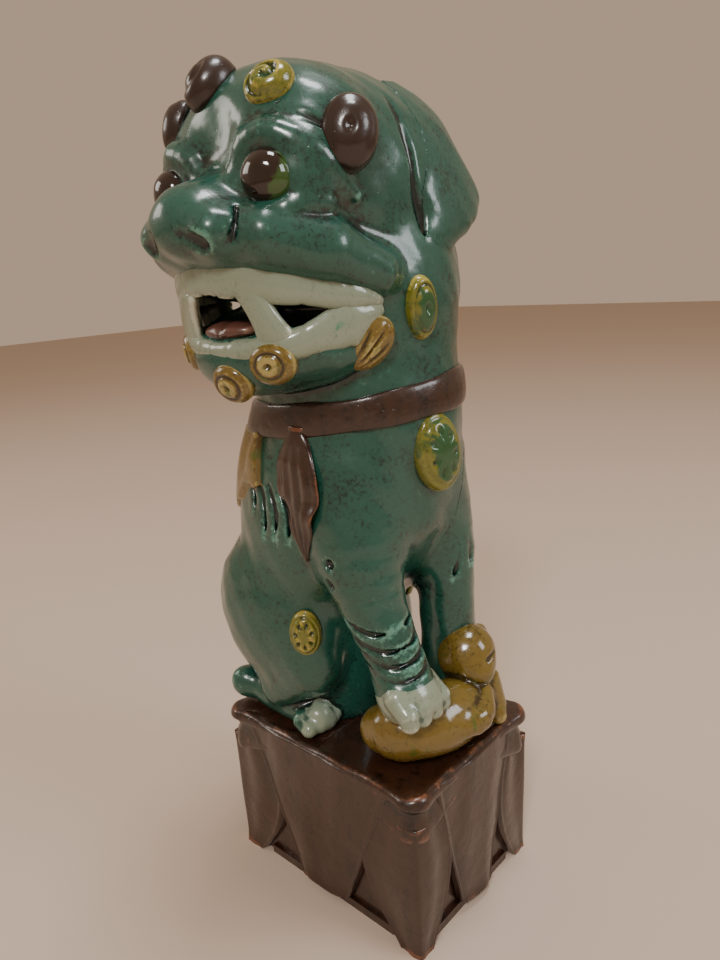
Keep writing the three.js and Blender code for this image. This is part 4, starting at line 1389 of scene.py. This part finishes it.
# %% Tassels
def tassel(hand):
    """A leaf-shaped strip hung from the strap. Its path is dropped onto the body's skin at nine
    places, and its width and thickness are functions of the share of its length. Strands are
    a cosine across it."""
    u = np.linspace(0, 1, 9)
    hung = np.stack([4.4 - 2.2 * u + 2.6 * u * u, hand * 26 + 0 * u, 158.8 - 39 * u], 1)
    path = bend([set_on(bare_body, spot, (0.15, hand, 0)) for spot in hung], 120)
    t = np.linspace(0, 1, 120)
    out = slope_of(bare_body, path, 1.5)
    across = np.cross(np.gradient(path, axis=0), out)
    share_of_leaf = np.clip((t - 0.04) / 0.96, 0, 1)
    half = 3 * (1 - t) ** 4 + 0.25 + 9.4 * np.sin(math.pi * share_of_leaf**0.85) ** 1.1
    thick = np.interp(t, [0, 0.1, 0.4, 0.8, 1], [1.6, 1.6, 1.5, 1.4, 0.5])
    rings = along_path(path, half, thick, across, 72)
    away = rings - path[:, None]
    across /= np.linalg.norm(across, axis=1, keepdims=True)
    out /= np.linalg.norm(out, axis=1, keepdims=True)
    sideways = (away * across[:, None]).sum(-1) / half[:, None]
    facing = (away * out[:, None]).sum(-1) > 0
    strands = 0.28 * np.cos(sideways * 13 + 1.5 * t[:, None]) * np.clip(t[:, None] * 5 - 0.6, 0, 1)
    return rings + (strands * facing * (1 - sideways**4))[..., None] * out[:, None]


for hand, side_name in ((NEAR, "right"), (OFF, "left")):
    add_piece(f"{side_name}_tassel_clay", *loft(tassel(hand)), "brown_glaze",
              f"{side_name}_tassel")

# %% Tail
t = np.linspace(0, 1, 120)
z = 58 + 50 * t
middle, deep, _ = column_at(z)
path = np.stack([middle - deep - 1.2 - 2.4 * np.sin(math.pi * t), 1.6 * np.sin(3 * t), z], 1)
rings = along_path(path, np.interp(t, [0, 0.3, 0.7, 1], [3.4, 6.2, 8.6, 0.6]),
                   np.interp(t, [0, 0.3, 0.7, 1], [2.8, 3.8, 3.8, 0.6]), (0, 1, 0), 72)
spread = (rings[..., 1] - path[:, None, 1])
rings[..., 0] += 0.5 * np.cos(spread * 2.4 + 2 * t[:, None])
add_piece("tail_clay", *loft(rings), "brown_glaze", "tail")

# %% Back mane
def back_mane(p):
    """A skin over the back that narrows to a point below and is combed into locks."""
    x, y, z = p[..., 0], p[..., 1], p[..., 2]
    low = 112 + 0.9 * np.abs(y) + 2.2 * np.cos(y * 0.9)
    locks = 0.35 * np.cos(y * 1.3 + 0.8 * np.sin(z / 9))
    skin_of_it = column(p) - 1.5 - locks * np.clip((z - low) / 8, 0, 1)
    made = np.maximum(skin_of_it, (low - z) * 0.6)
    made = np.maximum(made, strap_level(p) + 3.5)
    made = np.maximum(made, -column(p) - 1.2)
    return np.maximum(made, (x - 1 + 0.5 * np.abs(y)) * 0.8)


points, faces = skin(back_mane, np.array([-52.0, -36, 106]), (6, 36, 168), CELL)
add_piece("back_mane_clay", points, faces, "amber_glaze", "back_mane")
print("collar, tassels, tail and mane made")

# %% [markdown]
# ## Floor, light and camera
# The statue stands on a plain pale floor. Glaze is only as good as what it reflects, so the
# light is a few large soft boxes: they draw long highlights along the rolls of clay.

# %% Floor and lights
floor_mesh = bpy.data.meshes.new("floor")
reach = 3.0
floor_mesh.from_pydata([(-reach, -reach, 0), (reach, -reach, 0), (reach, reach, 0),
                        (-reach, reach, 0)], [], [(0, 1, 2, 3)])
floor = bpy.data.objects.new("floor", floor_mesh)
bpy.context.scene.collection.objects.link(floor)
paper = bpy.data.materials.new("pale paper")
paper.use_nodes = True
matt = paper.node_tree.nodes["Principled BSDF"].inputs
matt["Base Color"].default_value = (0.58, 0.46, 0.37, 1)
matt["Roughness"].default_value = 0.9
floor_mesh.materials.append(paper)

world = bpy.data.worlds.new("studio")
world.use_nodes = True
room = world.node_tree.nodes["Background"].inputs
room["Color"].default_value = (0.90, 0.66, 0.47, 1)
room["Strength"].default_value = 0.52
bpy.context.scene.world = world


def soft_box(name, offset, size, power, colour):
    """A square area light, size in m, at an offset in mm from the lion's breast, facing it."""
    light = bpy.data.lights.new(name, "AREA")
    light.size, light.energy, light.color = size, power, colour
    lamp = bpy.data.objects.new(name, light)
    bpy.context.scene.collection.objects.link(lamp)
    target = (MIDDLE + [0, 0, 150]) * MM
    lamp.location = target + np.array(offset) * MM
    lamp.rotation_mode = "QUATERNION"
    lamp.rotation_quaternion = (Vector(target) - lamp.location).to_track_quat("-Z", "Y")


soft_box("key", (500, -900, 900), 0.2, 8.5, (1.0, 0.97, 0.94))
soft_box("side", (900, 300, 500), 0.4, 4.0, (0.92, 0.96, 1.0))
soft_box("left", (-900, -500, 500), 0.4, 2.4, (1.0, 0.93, 0.85))
soft_box("top", (100, 100, 1100), 0.28, 5.5, (0.95, 0.98, 1.0))

# %% [markdown]
# ## Camera
# It stands a little over the head, off the near corner of the plinth, and looks down.

# %% Camera
camera = bpy.data.objects.new("camera", bpy.data.cameras.new("camera"))
bpy.context.scene.collection.objects.link(camera)
camera.data.sensor_width = 36
camera.data.lens = 27.75
camera.data.clip_start = 0.01
azimuth, pitch, tilt = map(math.radians, (43.14, 15.67, -3.79))
back = np.array([math.sin(azimuth) * math.cos(pitch), -math.cos(azimuth) * math.cos(pitch),
                 math.sin(pitch)])
level = np.array([math.cos(azimuth), math.sin(azimuth), 0])
upright = np.cross(back, level)
right = math.cos(tilt) * level + math.sin(tilt) * upright
above = math.cos(tilt) * upright - math.sin(tilt) * level
eye_point = (MIDDLE + [151.9, -161.7, 198.1]) * MM
pose = np.eye(4)
pose[:3, 0], pose[:3, 1], pose[:3, 2], pose[:3, 3] = right, above, back, eye_point
camera.matrix_world = Matrix(pose.tolist())
bpy.context.scene.camera = camera
